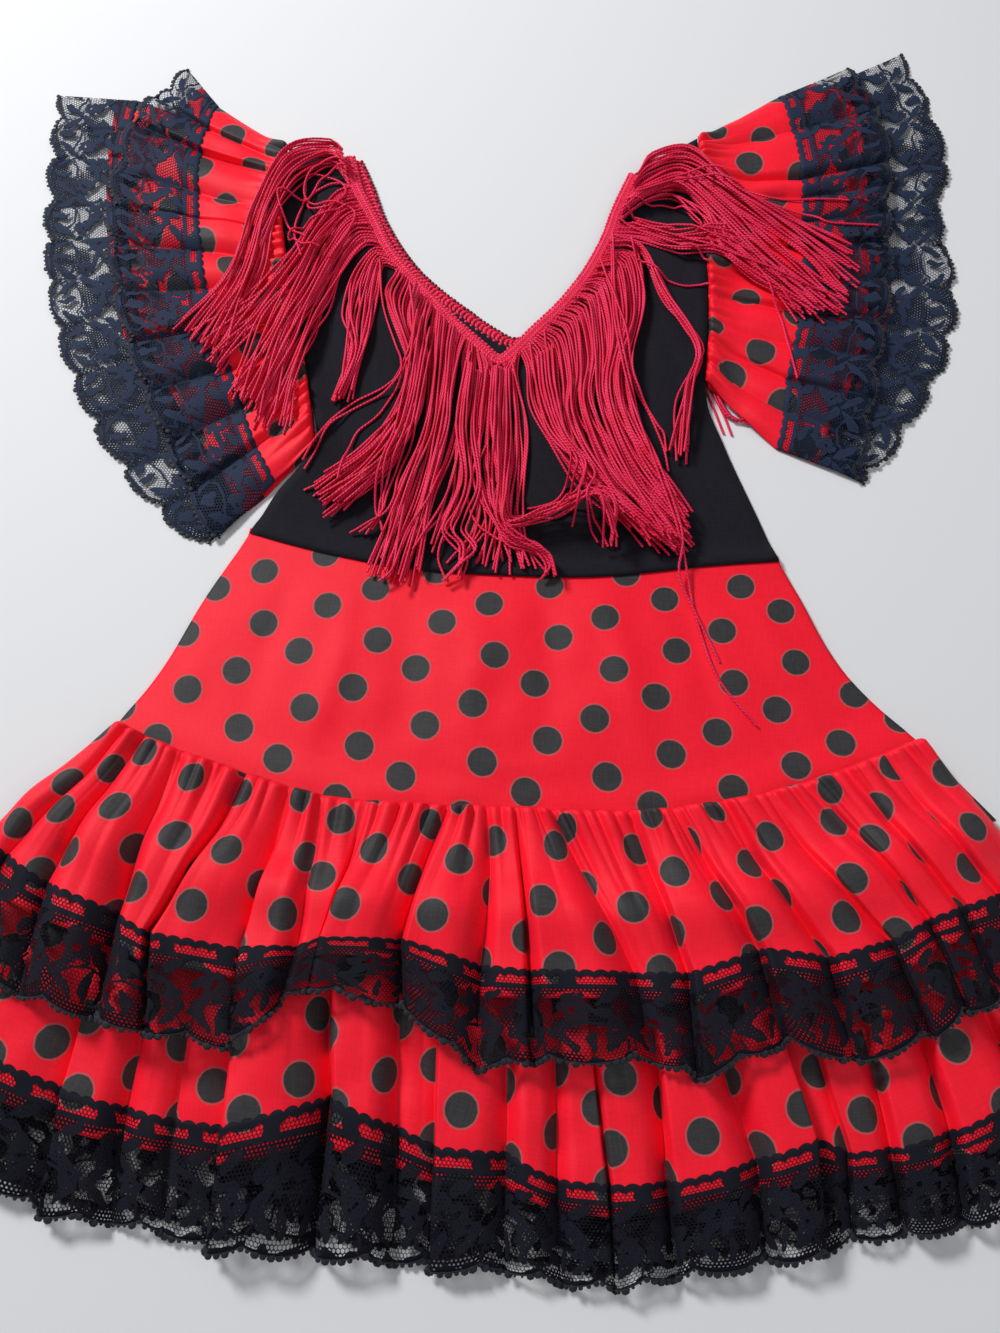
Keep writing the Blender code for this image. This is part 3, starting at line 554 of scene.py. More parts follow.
def dottedCotton():
    made, tree, shader = startMaterial("dottedCotton", 0.48, 0.02, cotton["sheenTint"])
    place = clothPlace(tree)
    dots = placeGroup(tree, groups["dots"], Cloth=place)
    threads = placeGroup(tree, groups["threads"], Cloth=place, Pitch=cotton["threadPitch"])
    slub = threads.outputs["Slub"]
    streak = fade(tree, slub, 0.3, 0.7)
    red, grey = (mixColour(tree, streak, *cotton[part]) for part in ("red", "grey"))
    colour = mixColour(tree, dots.outputs["Outline"], red, cotton["ring"])
    colour = mixColour(tree, dots.outputs["Dot"], colour, grey)
    tree.links.new(colour, shader.inputs["Base Color"])
    height = calc(tree, "MULTIPLY_ADD", slub, 1.2, threads.outputs["Relief"])
    addBump(tree, shader, height, 0.05, 0.6)
    return made


def blackLace(name, width, closed, dark, light, closing=0.0):
    # closed is how much of the net is drawn close, and closing is added to it on the way
    # from 120 to 360 mm along the lace
    made, tree, shader = startMaterial(name, 0.7, 0.015, (0.7, 0.8, 1.0))
    shader.inputs["Specular IOR Level"].default_value = 0.1
    place = clothPlace(tree)
    if closing:
        along = inMillimetres(tree, place)[0]
        closed = fade(tree, along, 120.0, 360.0, closed, closed + closing)
    lace = placeGroup(tree, groups["lace"], Cloth=place, Width=width, Closed=closed)
    # painted highlight: the raised motifs, header and border take the lighter tone, the flat net
    # the darker one
    colour = mixColour(tree, fade(tree, lace.outputs["Relief"], 0.3, 1.0), dark, light)
    tree.links.new(colour, shader.inputs["Base Color"])
    tree.links.new(lace.outputs["Cover"], shader.inputs["Alpha"])
    return made


jersey = {
    "black": ((0.006, 0.006, 0.010), (0.011, 0.010, 0.016)),
    "sheenTint": (0.75, 0.8, 1.0),
    "threadPitch": 0.9,
}


def blackJersey():
    made, tree, shader = startMaterial("blackJersey", 0.9, 0.03, jersey["sheenTint"])
    place = clothPlace(tree)
    threads = placeGroup(tree, groups["threads"], Cloth=place, Pitch=jersey["threadPitch"])
    colour = mixColour(tree, fade(tree, threads.outputs["Slub"], 0.3, 0.7), *jersey["black"])
    tree.links.new(colour, shader.inputs["Base Color"])
    addBump(tree, shader, threads.outputs["Relief"], 0.08, 0.7)
    return made


def plainThread(name, colour, roughness):
    # gimp and edge cord, with a fine uneven surface
    made, tree, shader = startMaterial(name, roughness, 0.1)
    place = tree.nodes.new("ShaderNodeTexCoord").outputs["Object"]
    grain = noise(tree, place, 900.0, 2.0)
    shade = mixColour(tree, fade(tree, grain, 0.3, 0.7), tuple(0.75 * c for c in colour), colour)
    tree.links.new(shade, shader.inputs["Base Color"])
    addBump(tree, shader, grain, 0.15)
    return made


cord = {
    "plyPitch": 2.6,  # length of one turn of the plies
    "bright": ((0.86, 0.017, 0.080), (1.0, 0.040, 0.145)),
    "dark": (0.60, 0.008, 0.046),  # painted shade in the grooves between the plies
    "sheenTint": (1.0, 0.3, 0.4),
}


def fringeCord():
    # two plies twisted round each other: the ply's angle comes from the cord's own values
    made, tree, shader = startMaterial("fringeCord", 0.4, 0.05, cord["sheenTint"])
    node = tree.nodes.new("ShaderNodeAttribute")
    node.attribute_name = "twist"
    parts = tree.nodes.new("ShaderNodeSeparateXYZ")
    tree.links.new(node.outputs["Vector"], parts.inputs[0])
    cosine, sine, along = parts.outputs
    turn = calc(tree, "MULTIPLY", along, 2 * math.pi / (cord["plyPitch"] * mm))
    doubleSine = calc(tree, "MULTIPLY", calc(tree, "MULTIPLY", sine, cosine), 2.0)
    doubleCosine = calc(tree, "SUBTRACT", calc(tree, "MULTIPLY", cosine, cosine),
                        calc(tree, "MULTIPLY", sine, sine))
    ply = calc(tree, "ADD", calc(tree, "MULTIPLY", doubleSine, calc(tree, "COSINE", turn)),
               calc(tree, "MULTIPLY", doubleCosine, calc(tree, "SINE", turn)))
    ply = fade(tree, ply, -0.9, 0.7)
    tone = noise(tree, tree.nodes.new("ShaderNodeTexCoord").outputs["Object"], 60.0, 1.0)
    bright = mixColour(tree, fade(tree, tone, 0.35, 0.65), *cord["bright"])
    # painted shade: the cord's colour darkens in the grooves between its plies
    shade = mixColour(tree, ply, cord["dark"], bright)
    tree.links.new(shade, shader.inputs["Base Color"])
    addBump(tree, shader, ply, 0.2)
    return made


tierLaceWidth, sleeveLaceWidth = 54.0, 62.0
# each lace pair: the lace's own black, then a lighter tone that is painted highlight on its raised
# parts
black = ((0.004, 0.004, 0.008), (0.009, 0.009, 0.016))
# painted cool light: the sleeve lace is the same black lace, made bluer and lighter for the cool
# light falling on it
coolLitBlack = ((0.008, 0.014, 0.030), (0.019, 0.029, 0.062))
finishes = {
    "cotton": dottedCotton(),
    "jersey": blackJersey(),
    "tierLace": blackLace("tierLace", tierLaceWidth, 0.465, *black),
    "backLace": blackLace("backLace", tierLaceWidth, 0.38, *black),
    "sleeveLace": blackLace("sleeveLace", sleeveLaceWidth, 0.47, *coolLitBlack, closing=0.14),
    "cord": fringeCord(),
    # painted shade: a darker copy of the crimson gimp, for the back neckline's bumps that lie in
    # shade
    "gimpInShade": plainThread("paintedShadeGimp", (0.20, 0.006, 0.022), 0.6),
    "gimp": plainThread("crimsonGimp", (0.95, 0.025, 0.105), 0.4),
    "blackThread": plainThread("blackThread", (0.016, 0.017, 0.026), 0.6),
}
print("materials made")


# gathered strips: folds run from the seam, over the lace's header, to its free edge

def shoulder(place, wide):
    # how a fold rises from its valley: 0 at the valley, 1 at wide of its width
    return np.sin(math.pi / 2 * np.minimum(place / wide, 1.0)) ** 0.8


foldShape = {"steep": 0.2, "plain": 0.42, "covered": 0.55}  # share of a fold that rises


def foldedStrip(folds, size):
    # the plan of a strip of cloth, and how high its folds stand above what it lies on
    rowAt = np.concatenate([np.linspace(0.0, 1.0, size["redRows"] + 1)[:-1] ** 1.25,
                            1.0 + np.linspace(0.0, 1.0, size["laceRows"] + 1)])
    down = rowAt[:, None]
    grown = size["seamGrowth"] + (1 - size["seamGrowth"]) * smoothStep(down, 0, 0.8)
    growth = np.where(down < 1, grown, 1 - size["edgeFall"] * np.maximum(down - 1, 0) ** 2)
    leaning = smoothStep(down, 0.1, 0.75)
    draw = np.random.default_rng(size["seed"])
    bows = draw.uniform(-size["bow"], size["bow"], len(folds))
    bows[[0, -1]] = 0.0
    lines = []
    for fold, bow in zip(folds, bows):
        top, head, edge = (np.array(fold[part], float) for part in ("top", "head", "edge"))
        aside = np.array([head[1] - top[1], top[0] - head[0]])
        aside *= bow / np.linalg.norm(aside)
        line = np.where(down < 1, top + (head - top) * down, head + (edge - head) * (down - 1))
        lines.append(line + aside * np.sin(math.pi * np.minimum(down, 1.0)))
    plans, rises, panels, start = [], [], [], 0
    for k in range(len(folds) - 1):
        first, second = lines[k], lines[k + 1]
        across = second - first
        width = np.linalg.norm(across, axis=1)[:, None]
        tuck = folds[k]["tuck"]
        before = folds[k - 1]["tuck"] if k > 0 else 0.0
        after = folds[k + 1]["tuck"] if k + 2 < len(folds) else 0.0
        steep, plain, covered = foldShape.values()
        wideLeft = steep if tuck < 0 else covered if before > 0 else plain
        wideRight = steep if tuck > 0 else covered if after < 0 else plain
        count = max(8, int(round(width.max() / size["step"])))
        t = np.linspace(0.0, 1.0, count + 1)[None, :]
        profile = shoulder(t, wideLeft) * shoulder(1 - t, wideRight)
        toEdge = t if tuck > 0 else 1 - t
        lean = np.sin(math.pi * np.clip((toEdge - 0.4) / 0.6, 0, 1))
        reach = np.minimum(abs(tuck) * leaning, 0.5 * width) * np.sign(tuck)
        moved = t + lean * reach / width
        plan = first[:, None] + moved[:, :, None] * across[:, None]
        rise = folds[k]["rise"] * growth * profile
        last = None if k == len(folds) - 2 else -1
        plans.append(plan[:, :last])
        rises.append(rise[:, :last])
        panels.append((start, start + count))
        start += count
    return {"plan": np.concatenate(plans, axis=1), "rise": np.concatenate(rises, axis=1),
            "rowAt": rowAt, "panels": panels, "folds": folds, "size": size}


def addGathers(strip, settings):
    # small puckers along the seam, each of its own width, height and length
    plan = strip["plan"]
    seam = plan[0]
    along = np.concatenate([[0.0], np.cumsum(np.linalg.norm(np.diff(seam, axis=0), axis=1))])
    below = np.concatenate([np.zeros((1, plan.shape[1])),
                            np.cumsum(np.linalg.norm(np.diff(plan, axis=0), axis=2), axis=0)])
    draw = np.random.default_rng(settings["seed"])
    edges = [0.0]
    while edges[-1] < along[-1]:
        edges.append(edges[-1] + draw.uniform(*settings["pitch"]))
    number = np.clip(np.searchsorted(edges, along, side="right") - 1, 0, len(edges) - 2)
    inside = (along - np.array(edges)[number]) / np.diff(edges)[number]
    heights = draw.uniform(*settings["height"], len(edges))[number]
    lengths = draw.uniform(*settings["length"], len(edges))[number]
    wave = heights * np.sin(math.pi * inside) ** 0.7
    start = smoothStep(below, 0.0, settings["ease"])
    strip["rise"] = strip["rise"] + wave * start * np.exp(-(below / lengths) ** 1.5)


def layStrip(strip, settle):
    # lay the strip on the ground: pressed down at its seam, draped over what is below
    x, y = strip["plan"][:, :, 0], strip["plan"][:, :, 1]
    tight = ground.read(ground.spread(1), x, y)
    loose = ground.read(ground.draped(settle["reach"]), x, y)
    away = smoothStep(strip["rowAt"][:, None], 0.0, settle["seamEase"])
    base = tight * (1 - away) + loose * away
    uneven = settle["ripple"] * ripple(x, y, settle["wave"], settle["seed"]) * away
    z = base + dress["layerGap"] + dress["cottonWall"] + settle["lift"] + strip["rise"]
    z = z + np.maximum(uneven, -0.6 * strip["rise"])
    strip["top"] = np.concatenate([strip["plan"], z[:, :, None]], axis=2)


def headerRow(strip):
    # the row of the mesh that the lace's header lies on
    return int(np.argmin(abs(strip["rowAt"] - 1.0)))


def printPlaces(strip):
    # the print's own coordinates: each panel is unrolled flat along the grain of its hem,
    # and cloth is lost from sight in every valley
    top, headRow = strip["top"], headerRow(strip)
    corners = np.zeros((top.shape[0] - 1, top.shape[1] - 1, 4, 2))
    heads = [np.array(fold["head"], float) for fold in strip["folds"]]
    travelled, stretch = 0.0, strip["size"]["printStretch"]
    for k, (start, stop) in enumerate(strip["panels"]):
        part = top[:, start:stop + 1]
        steps = np.linalg.norm(np.diff(part, axis=1), axis=2)
        along = np.concatenate([np.zeros((len(part), 1)), np.cumsum(steps, axis=1)], axis=1)
        middle = (stop - start) // 2
        across = part[:, -1, :2] - part[:, 0, :2]
        across /= np.linalg.norm(across, axis=1)[:, None] + 1e-9
        beside = (along - along[:, middle:middle + 1])[:, :, None]
        flat = part[:, middle:middle + 1, :2] + beside * across[:, None]
        grain = heads[min(k + 2, len(heads) - 1)] - heads[max(k - 1, 0)]
        grain /= np.linalg.norm(grain)
        offset = flat - flat[headRow, middle]
        drift = (flat[:, middle] - flat[headRow, middle]) @ grain
        squeeze = strip["size"]["printSqueeze"]
        u = (1 - squeeze) * (offset @ grain + along[headRow, middle])
        u += squeeze * (along[headRow] + drift[:, None]) + travelled
        v = offset @ np.array([-grain[1], grain[0]])
        corners[:, start:stop] = cornerValues(np.stack([u, v], axis=2) / stretch)
        travelled += along[headRow, -1] + strip["size"]["hidden"]
    return corners


def lacePlaces(strip, rows, width):
    # the lace's coordinates: length along the header, and depth from the header down
    top, headRow = strip["top"], headerRow(strip)
    depth = (strip["rowAt"][rows] - 1.0) * width
    corners = np.zeros((len(depth) - 1, top.shape[1] - 1, 4, 2))
    lengths, travelled = [], 0.0
    for start, stop in strip["panels"]:
        steps = np.linalg.norm(np.diff(top[headRow, start:stop + 1], axis=0), axis=1)
        along = travelled + np.concatenate([[0.0], np.cumsum(steps)])
        u = np.broadcast_to(along, (len(depth), len(along)))
        v = np.broadcast_to(depth[:, None], u.shape)
        corners[:, start:stop] = cornerValues(np.stack([u, v], axis=2))
        lengths.append(along[:-1] if stop < top.shape[1] - 1 else along)
        travelled = along[-1] + strip["size"]["laceHidden"]
    return corners, np.concatenate(lengths)


def scallopEdge(strip, lengths, depth):
    # move the lace's lowest rows so that its free edge is scalloped
    pitch = lacePattern["scallop"]
    wave = np.abs(np.cos(math.pi * lengths / pitch)) ** 0.6 - 0.5
    run = strip["plan"][-1] - strip["plan"][headerRow(strip)]
    run /= np.linalg.norm(run, axis=1)[:, None]
    share = np.clip((strip["rowAt"] - 1.4) / 0.6, 0, 1)[:, None, None]
    strip["plan"] = strip["plan"] + run[None] * (wave * depth)[None, :, None] * share


def makeFlounce(name, folds, size, settle, gathers=(), faceDown=False):
    # one gathered strip: dotted cotton, and the lace sewn over its lower part
    strip = foldedStrip(folds, size)
    for settings in gathers:
        addGathers(strip, settings)
    layStrip(strip, settle)
    rows = slice(headerRow(strip), None)
    _, lengths = lacePlaces(strip, rows, size["laceWidth"])
    scallopEdge(strip, lengths, size["scallopDepth"])
    layStrip(strip, settle)
    laceCorners, _ = lacePlaces(strip, rows, size["laceWidth"])
    top = strip["top"]
    hem = rows.start + max(1, int(round(size["laceRows"] * size["underLace"] / size["laceWidth"])))
    printCorners = printPlaces(strip)
    normals = gridNormals(top)
    lift = dress["laceLift"] * (-1 if faceDown else 1)
    lace = top[rows] + normals[rows] * lift
    red = makeCloth(name, top[:hem + 1], printCorners[:hem], finishes["cotton"],
                    dress["cottonWall"])
    lacePiece = makeCloth(name + "Lace", lace, laceCorners, finishes[size["laceFinish"]],
                          dress["laceWall"])
    ground.press(top[:hem + 1])
    ground.press(lace)
    return {"red": red, "lace": lacePiece, "strip": strip, "edge": lace[-1], "hem": hem,
            "headRow": rows.start}


def droppedLine(distance, count=80):
    # the tier's seam moved down the skirt, away from the point that the folds fan out from
    seam = curveThrough(outlines["tierSeam"], count)
    outward = seam - np.array(dress["foldCentre"])
    return seam + distance * outward / np.linalg.norm(outward, axis=1)[:, None]


def tierFolds(rows, line, riseShare=1.4, tuckShare=1.0, shorter=0.0):
    # a fold for each row of a tier's table, its top on the line that it is sewn to
    return [{"top": (topX, float(np.interp(topX, line[:, 0], line[:, 1]))),
             "head": (headX, headY), "edge": (edgeX, edgeY + shorter),
             "rise": rise * riseShare, "tuck": tuck * tuckShare}
            for topX, headX, headY, edgeX, edgeY, rise, tuck in rows]


# one row for each valley of a tier, from the left: x on the seam, the lace's header, its
# free edge, the height of the ridge that follows, and how far that ridge leans over the
# next valley (or over this one, where it is negative)
tierOneRows = [
    (-222, -290, -104, -318, -150, 5, 0),
    (-214, -268, -114, -288, -172, 7, 0),
    (-203, -243, -130, -248, -186, 11, 0),
    (-184, -202, -146, -206, -198, 11, 3),
    (-144, -183, -157, -180, -204, 11, -6),
    (-118, -135, -165, -136, -212, 7, -4),
    (-99, -106, -164, -112, -192, 4, 3),
    (-76, -95, -160, -98, -184, 9, -6),
    (-28, -52, -160, -50, -192, 10, -5),
    (-7, -10, -173, -12, -222, 7, 2),
    (8, 15, -176, 17, -219, 12, -3),
    (28, 70, -177, 76, -218, 5, 0),
    (72, 98, -177, 99, -226, 8, -6),
    (98, 136, -165, 143, -210, 9, -5),
    (122, 172, -169, 180, -219, 7, -4),
    (148, 206, -160, 220, -206, 6, -6),
    (172, 228, -149, 240, -194, 6, -5),
    (197, 246, -143, 260, -190, 6, -4),
    (218, 268, -136, 284, -184, 5, -3),
    (241, 291, -120, 312, -170, 0, 0),
]
tierTwoRows = [
    (-258, -308, -198, -328, -240, 5, 0),
    (-236, -272, -212, -284, -258, 8, -3),
    (-205, -222, -232, -226, -288, 8, -5),
    (-178, -190, -241, -192, -292, 5, 0),
    (-148, -165, -247, -166, -296, 2, 0),
    (-132, -140, -250, -142, -303, 13, -7),
    (-92, -86, -236, -90, -305, 10, -3),
    (-56, -52, -250, -52, -309, 2, 0),
    (-30, -33, -259, -34, -312, 7, -6),
    (-2, 3, -262, 2, -312, 7, 0),
    (22, 28, -274, 30, -318, 6, 3),
    (46, 54, -276, 55, -320, 8, -4),
    (70, 83, -275, 85, -315, 9, -6),
    (98, 128, -265, 130, -308, 9, 5),
    (136, 158, -255, 157, -306, 2, 0),
    (150, 175, -262, 173, -299, 6, -5),
    (172, 196, -260, 198, -297, 8, -4),
    (198, 227, -252, 228, -293, 8, -5),
    (228, 268, -234, 270, -282, 6, -3),
    (250, 300, -220, 314, -264, 0, 0),
]
tierSize = {
    "seed": 3,
    "bow": 3.5,  # how far a fold's line may curve sideways
    "printSqueeze": 0.15,  # how far the print is drawn in where the cloth is gathered
    "printStretch": (1.0, 1.0),  # along the seam and away from it
    "step": 1.2,  # between two columns of the mesh
    "redRows": 32,
    "laceRows": 18,
    "seamGrowth": 0.3,  # share of a fold's height that it has at the seam
    "edgeFall": 0.2,
    "hidden": 9.0,  # cloth that is lost in each valley
    "laceHidden": 3.0,
    "underLace": 18.0,  # red cloth below the lace's header
    "laceWidth": tierLaceWidth,
    "scallopDepth": 5.0,
    "laceFinish": "tierLace",
}
lowerTierSize = {**tierSize, "seed": 6, "step": 1.3, "redRows": 28}
hiddenTierSize = {**tierSize, "step": 3.0, "redRows": 16, "laceRows": 8, "laceFinish": "backLace"}

# sleeves: each fold is its place along the seam and along the lace (0 at the shoulder),
# the height of the ridge that follows, and its lean towards the underarm
sleeves = {
    "Left": {
        "seam": [(-156, 410), (-158, 362), (-150, 307), (-137, 246), (-127, 197), (-120, 153)],
        "head": [(-214, 456), (-220, 400), (-218, 365), (-209, 310), (-198, 262), (-178, 208),
                 (-163, 163), (-144, 126)],
        "edge": [(-240, 492), (-272, 440), (-280, 385), (-275, 330), (-262, 270), (-238, 205),
                 (-212, 150), (-178, 84)],
        "underHead": [(-276, 463), (-277, 420), (-272, 370), (-262, 310), (-246, 250),
                      (-214, 185), (-184, 140), (-150, 116)],
        "underEdge": [(-334, 468), (-330, 400), (-322, 330), (-306, 262), (-276, 190),
                      (-244, 140), (-208, 100), (-184, 82)],
        "folds": [(0.0, 0.0, 5, 3), (0.06, 0.08, 7, 3), (0.12, 0.15, 7, 0), (0.22, 0.26, 5, 2),
                  (0.30, 0.34, 7, -3), (0.40, 0.42, 7, 0), (0.50, 0.52, 6, 2), (0.60, 0.62, 6, 0),
                  (0.70, 0.72, 6, 0), (0.80, 0.82, 5, 2), (0.90, 0.91, 4, 0), (1.0, 1.0, 0, 0)],
    },
    "Right": {
        "seam": [(147, 420), (145, 362), (145, 307), (143, 254), (136, 199)],
        "head": [(212, 466), (219, 420), (219, 375), (213, 318), (205, 255), (193, 215),
                 (186, 175), (180, 152)],
        "edge": [(266, 494), (286, 440), (284, 400), (276, 345), (268, 285), (252, 222),
                 (240, 170), (228, 129)],
        "underHead": [(262, 484), (272, 440), (270, 390), (263, 330), (256, 270), (240, 215),
                      (222, 175), (200, 146)],
        "underEdge": [(310, 510), (328, 440), (329, 400), (314, 350), (316, 295), (304, 235),
                      (270, 175), (232, 127)],
        "folds": [(0.0, 0.0, 4, 0), (0.06, 0.12, 6, 4), (0.16, 0.27, 6, 0), (0.26, 0.33, 6, 0),
                  (0.36, 0.40, 6, 2), (0.46, 0.47, 6, 0), (0.56, 0.56, 5, 2), (0.66, 0.65, 5, 0),
                  (0.76, 0.74, 5, 2), (0.84, 0.83, 4, 0), (0.92, 0.91, 4, 0), (1.0, 1.0, 0, 0)],
    },
}
sleeveSize = {
    "seed": 4,
    "bow": 2.0,
    "printSqueeze": 0.25,
    "printStretch": (1.35, 1.15),
    "step": 1.3,
    "redRows": 20,
    "laceRows": 18,
    "seamGrowth": 0.3,
    "edgeFall": 0.2,
    "hidden": 7.0,
    "laceHidden": 3.0,
    "underLace": 34.0,
    "laceWidth": sleeveLaceWidth,
    "scallopDepth": 8.0,
    "laceFinish": "sleeveLace",
}
underSleeveSize = {**sleeveSize, "step": 1.7, "redRows": 12, "underLace": 18.0}


def sleeveFolds(sleeve, head, edge, riseShare=1.0):
    # a fold for each row of a sleeve's table
    seamCurve, headCurve, edgeCurve = (curveThrough(sleeve[part], 60)
                                       for part in ("seam", head, edge))
    return [{"top": pointAt(seamCurve, a), "head": pointAt(headCurve, b),
             "edge": pointAt(edgeCurve, b), "rise": rise * riseShare, "tuck": tuck}
            for a, b, rise, tuck in sleeve["folds"]]


# flat pieces: the skirt and the bodice

def addCreases(x, y, creases):
    # soft ridges and troughs along given lines: points of the line, half width and height
    total = np.zeros_like(x)
    for points, halfWidth, height in creases:
        line = curveThrough(points, 24)
        gap = np.full(x.shape, 1e9)
        share = np.zeros_like(x)
        for k, (px, py) in enumerate(line):
            far = (x - px) ** 2 + (y - py) ** 2
            share = np.where(far < gap, k / (len(line) - 1), share)
            gap = np.minimum(gap, far)
        taper = np.sin(math.pi * (0.08 + 0.84 * share))
        total += height * np.exp(-gap / (2 * halfWidth ** 2)) * taper
    return total


def layFlat(plan, wall, rise, reach):
    # lay a flat piece on what is there
    x, y = plan[:, :, 0], plan[:, :, 1]
    base = ground.read(ground.draped(reach), x, y)
    z = base + dress["layerGap"] + wall + rise
    return np.concatenate([plan, z[:, :, None]], axis=2)


def gridShares(plan):
    # how far each column and each row lies across the plan
    rows, cols = plan.shape[:2]
    return np.linspace(0.0, 1.0, cols)[None, :], np.linspace(0.0, 1.0, rows)[:, None]


skirt = {
    "printTurn": -7.8,  # degrees that the print is turned on the skirt
    "printShift": (32.4, 21.0),
    "printBend": (-0.00012, 0.00017, -0.0005),
    "front": {"grid": (150, 62, 12), "reach": 6, "wave": 48.0, "seed": 5},
    "back": {"grid": (60, 30, 8), "reach": 5, "wave": 60.0, "seed": 31},
    "loft": 5.0,
    "lift": 1.2,
    "ripple": 0.4,
    "backLoft": 0.5,
    "creaseShare": 2.1,  # all the creases' heights are multiplied by this
    "frontCreases": [  # line, half width, height
        ([(-128, 60), (-140, 10), (-152, -40)], 7, -1.1),
        ([(-92, 50), (-96, 5), (-112, -60)], 6, 0.9),
        ([(-58, 52), (-54, 0), (-60, -60)], 9, -0.8),
        ([(-20, 50), (-14, 0), (-22, -70)], 8, 0.7),
        ([(22, 50), (30, 10), (26, -50)], 8, -0.8),
        ([(60, 50), (72, 10), (84, -60)], 7, 0.9),
        ([(104, 58), (118, 10), (128, -56)], 7, -1.0),
        ([(150, 60), (165, 14), (188, -50)], 6, 1.0),
        ([(160, -10), (190, -30), (222, -50)], 8, -0.9),
        ([(-170, 30), (-186, -10), (-200, -34)], 7, 0.8),
        ([(-30, -60), (0, -66), (36, -62)], 6, 0.7),
    ],
}


def skirtPlan(cols, rows, dropRows):
    # waist to tier seam, then the hidden cloth that the second tier hangs from
    waist = curveThrough(outlines["waist"], cols) + (0.0, dress["lap"])
    seam = curveThrough(outlines["tierSeam"], cols)
    left = curveThrough(outlines["skirtLeft"], rows)
    right = curveThrough(outlines["skirtRight"], rows)
    left[0], right[0] = waist[0], waist[-1]
    plan = patchGrid(waist, seam, left, right)
    hidden = [droppedLine(dress["baseDrop"] * k / dropRows, cols) for k in range(1, dropRows + 1)]
    return np.vstack([plan, np.array(hidden)])


def skirtPrint(plan):
    # the print's own coordinates on the skirt: turned a little, and bent as the cloth was cut
    turn = math.radians(skirt["printTurn"])
    x, y = plan[:, :, 0], plan[:, :, 1]
    xx, xy, yy = skirt["printBend"]
    u = math.cos(turn) * x + math.sin(turn) * y + yy * y * y - skirt["printShift"][0]
    v = -math.sin(turn) * x + math.cos(turn) * y + xx * x * x + xy * x * y - skirt["printShift"][1]
    return cornerValues(np.stack([u, v], axis=2))


def laySkirt(name, plan, rise, reach):
    top = layFlat(plan, dress["cottonWall"], rise, reach)
    made = makeCloth(name, top, skirtPrint(plan), finishes["cotton"], dress["cottonWall"])
    ground.press(top)
    return made


def makeSkirtBack():
    back = skirt["back"]
    plan = skirtPlan(*back["grid"])
    x, y = plan[:, :, 0], plan[:, :, 1]
    u, _ = gridShares(plan)
    loft = skirt["backLoft"]
    rise = loft + loft * ripple(x, y, back["wave"], back["seed"]) * np.sin(math.pi * u)
    return laySkirt("skirtBack", plan, rise, back["reach"])


def makeSkirtFront():
    front = skirt["front"]
    dropRows = front["grid"][2]
    plan = skirtPlan(*front["grid"])
    x, y = plan[:, :, 0], plan[:, :, 1]
    u, v = gridShares(plan)
    v = np.minimum(v * len(plan) / (len(plan) - dropRows), 1.0)
    across, down = np.sin(math.pi * u), np.sin(math.pi * v)
    loft = skirt["loft"] * across ** 0.7 * np.sin(math.pi * np.clip(v, 0.02, 0.98)) ** 0.7
    edge = across ** 0.5 * down ** 0.5
    creases = skirt["creaseShare"] * addCreases(x, y, skirt["frontCreases"])
    uneven = skirt["ripple"] * ripple(x, y, front["wave"], front["seed"])
    rise = np.maximum(loft + skirt["lift"] + edge * (creases + uneven), 0.1)
    return laySkirt("skirtFront", plan, rise, front["reach"])


bodice = {
    "ripple": 0.35,
    "wave": 52.0,
    "frontCreases": [
        ([(150, 80), (146, 110), (132, 150), (124, 196)], 4, 1.4),
        ([(-136, 96), (-128, 120), (-112, 156)], 5, 1.1),
        ([(-118, 150), (-100, 160), (-76, 158)], 5, 0.9),
        ([(128, 190), (110, 176), (88, 170)], 5, 0.9),
        ([(-60, 100), (-10, 92), (48, 98)], 6, 0.8),
        ([(60, 76), (100, 80), (146, 86)], 4, -0.8),
        ([(-120, 96), (-80, 84), (-40, 76)], 4, -0.7),
        ([(-138, 300), (-124, 290), (-108, 286)], 4, 0.8),
        ([(140, 300), (124, 294), (108, 296)], 4, 0.8),
    ],
}


def bodicePlan(neckLeft, neckRight, cols, rows):
    # vertical strips from the waist to the shoulders and the neckline
    shoulders, necks = max(2, cols // 12), max(4, cols // 2 - cols // 12)
    top = np.vstack([curveThrough(outlines["shoulderLeft"], shoulders + 1)[:-1],
                     curveThrough(outlines[neckLeft], necks + 1)[:-1],
                     curveThrough(outlines[neckRight], necks + 1)[:-1],
                     curveThrough(outlines["shoulderRight"], shoulders + 1)])
    top[shoulders] = outlines[neckLeft][0]
    waist = curveThrough(outlines["waist"], 90)
    share = (top[:, 0] - top[0, 0]) / (top[-1, 0] - top[0, 0])
    bottomX = waist[0, 0] + share * (waist[-1, 0] - waist[0, 0])
    bottom = np.stack([bottomX, np.interp(bottomX, waist[:, 0], waist[:, 1])], axis=1)
    left = curveThrough(outlines["sideLeft"][:-1] + outlines["armholeLeft"], rows)
    right = curveThrough(outlines["sideRight"][:-1] + outlines["armholeRight"], rows)
    return patchGrid(bottom, top, left, right)


def makeBodice(name, neckLeft, neckRight, cols, rows, loft, reach, seed, creases=()):
    plan = bodicePlan(neckLeft, neckRight, cols, rows)
    x, y = plan[:, :, 0], plan[:, :, 1]
    u, v = gridShares(plan)
    edge = np.sin(math.pi * u) ** 0.6 * np.sin(math.pi * v) ** 0.6
    uneven = bodice["ripple"] * ripple(x, y, bodice["wave"], seed)
    rise = edge * (loft + addCreases(x, y, creases) + uneven)
    top = layFlat(plan, dress["jerseyWall"], np.maximum(rise, 0.0), reach)
    made = makeCloth(name, top, cornerValues(plan), finishes["jersey"], dress["jerseyWall"])
    ground.press(top)
    return made


# geometry nodes: round cord along a line, and small stitches in a row beside it

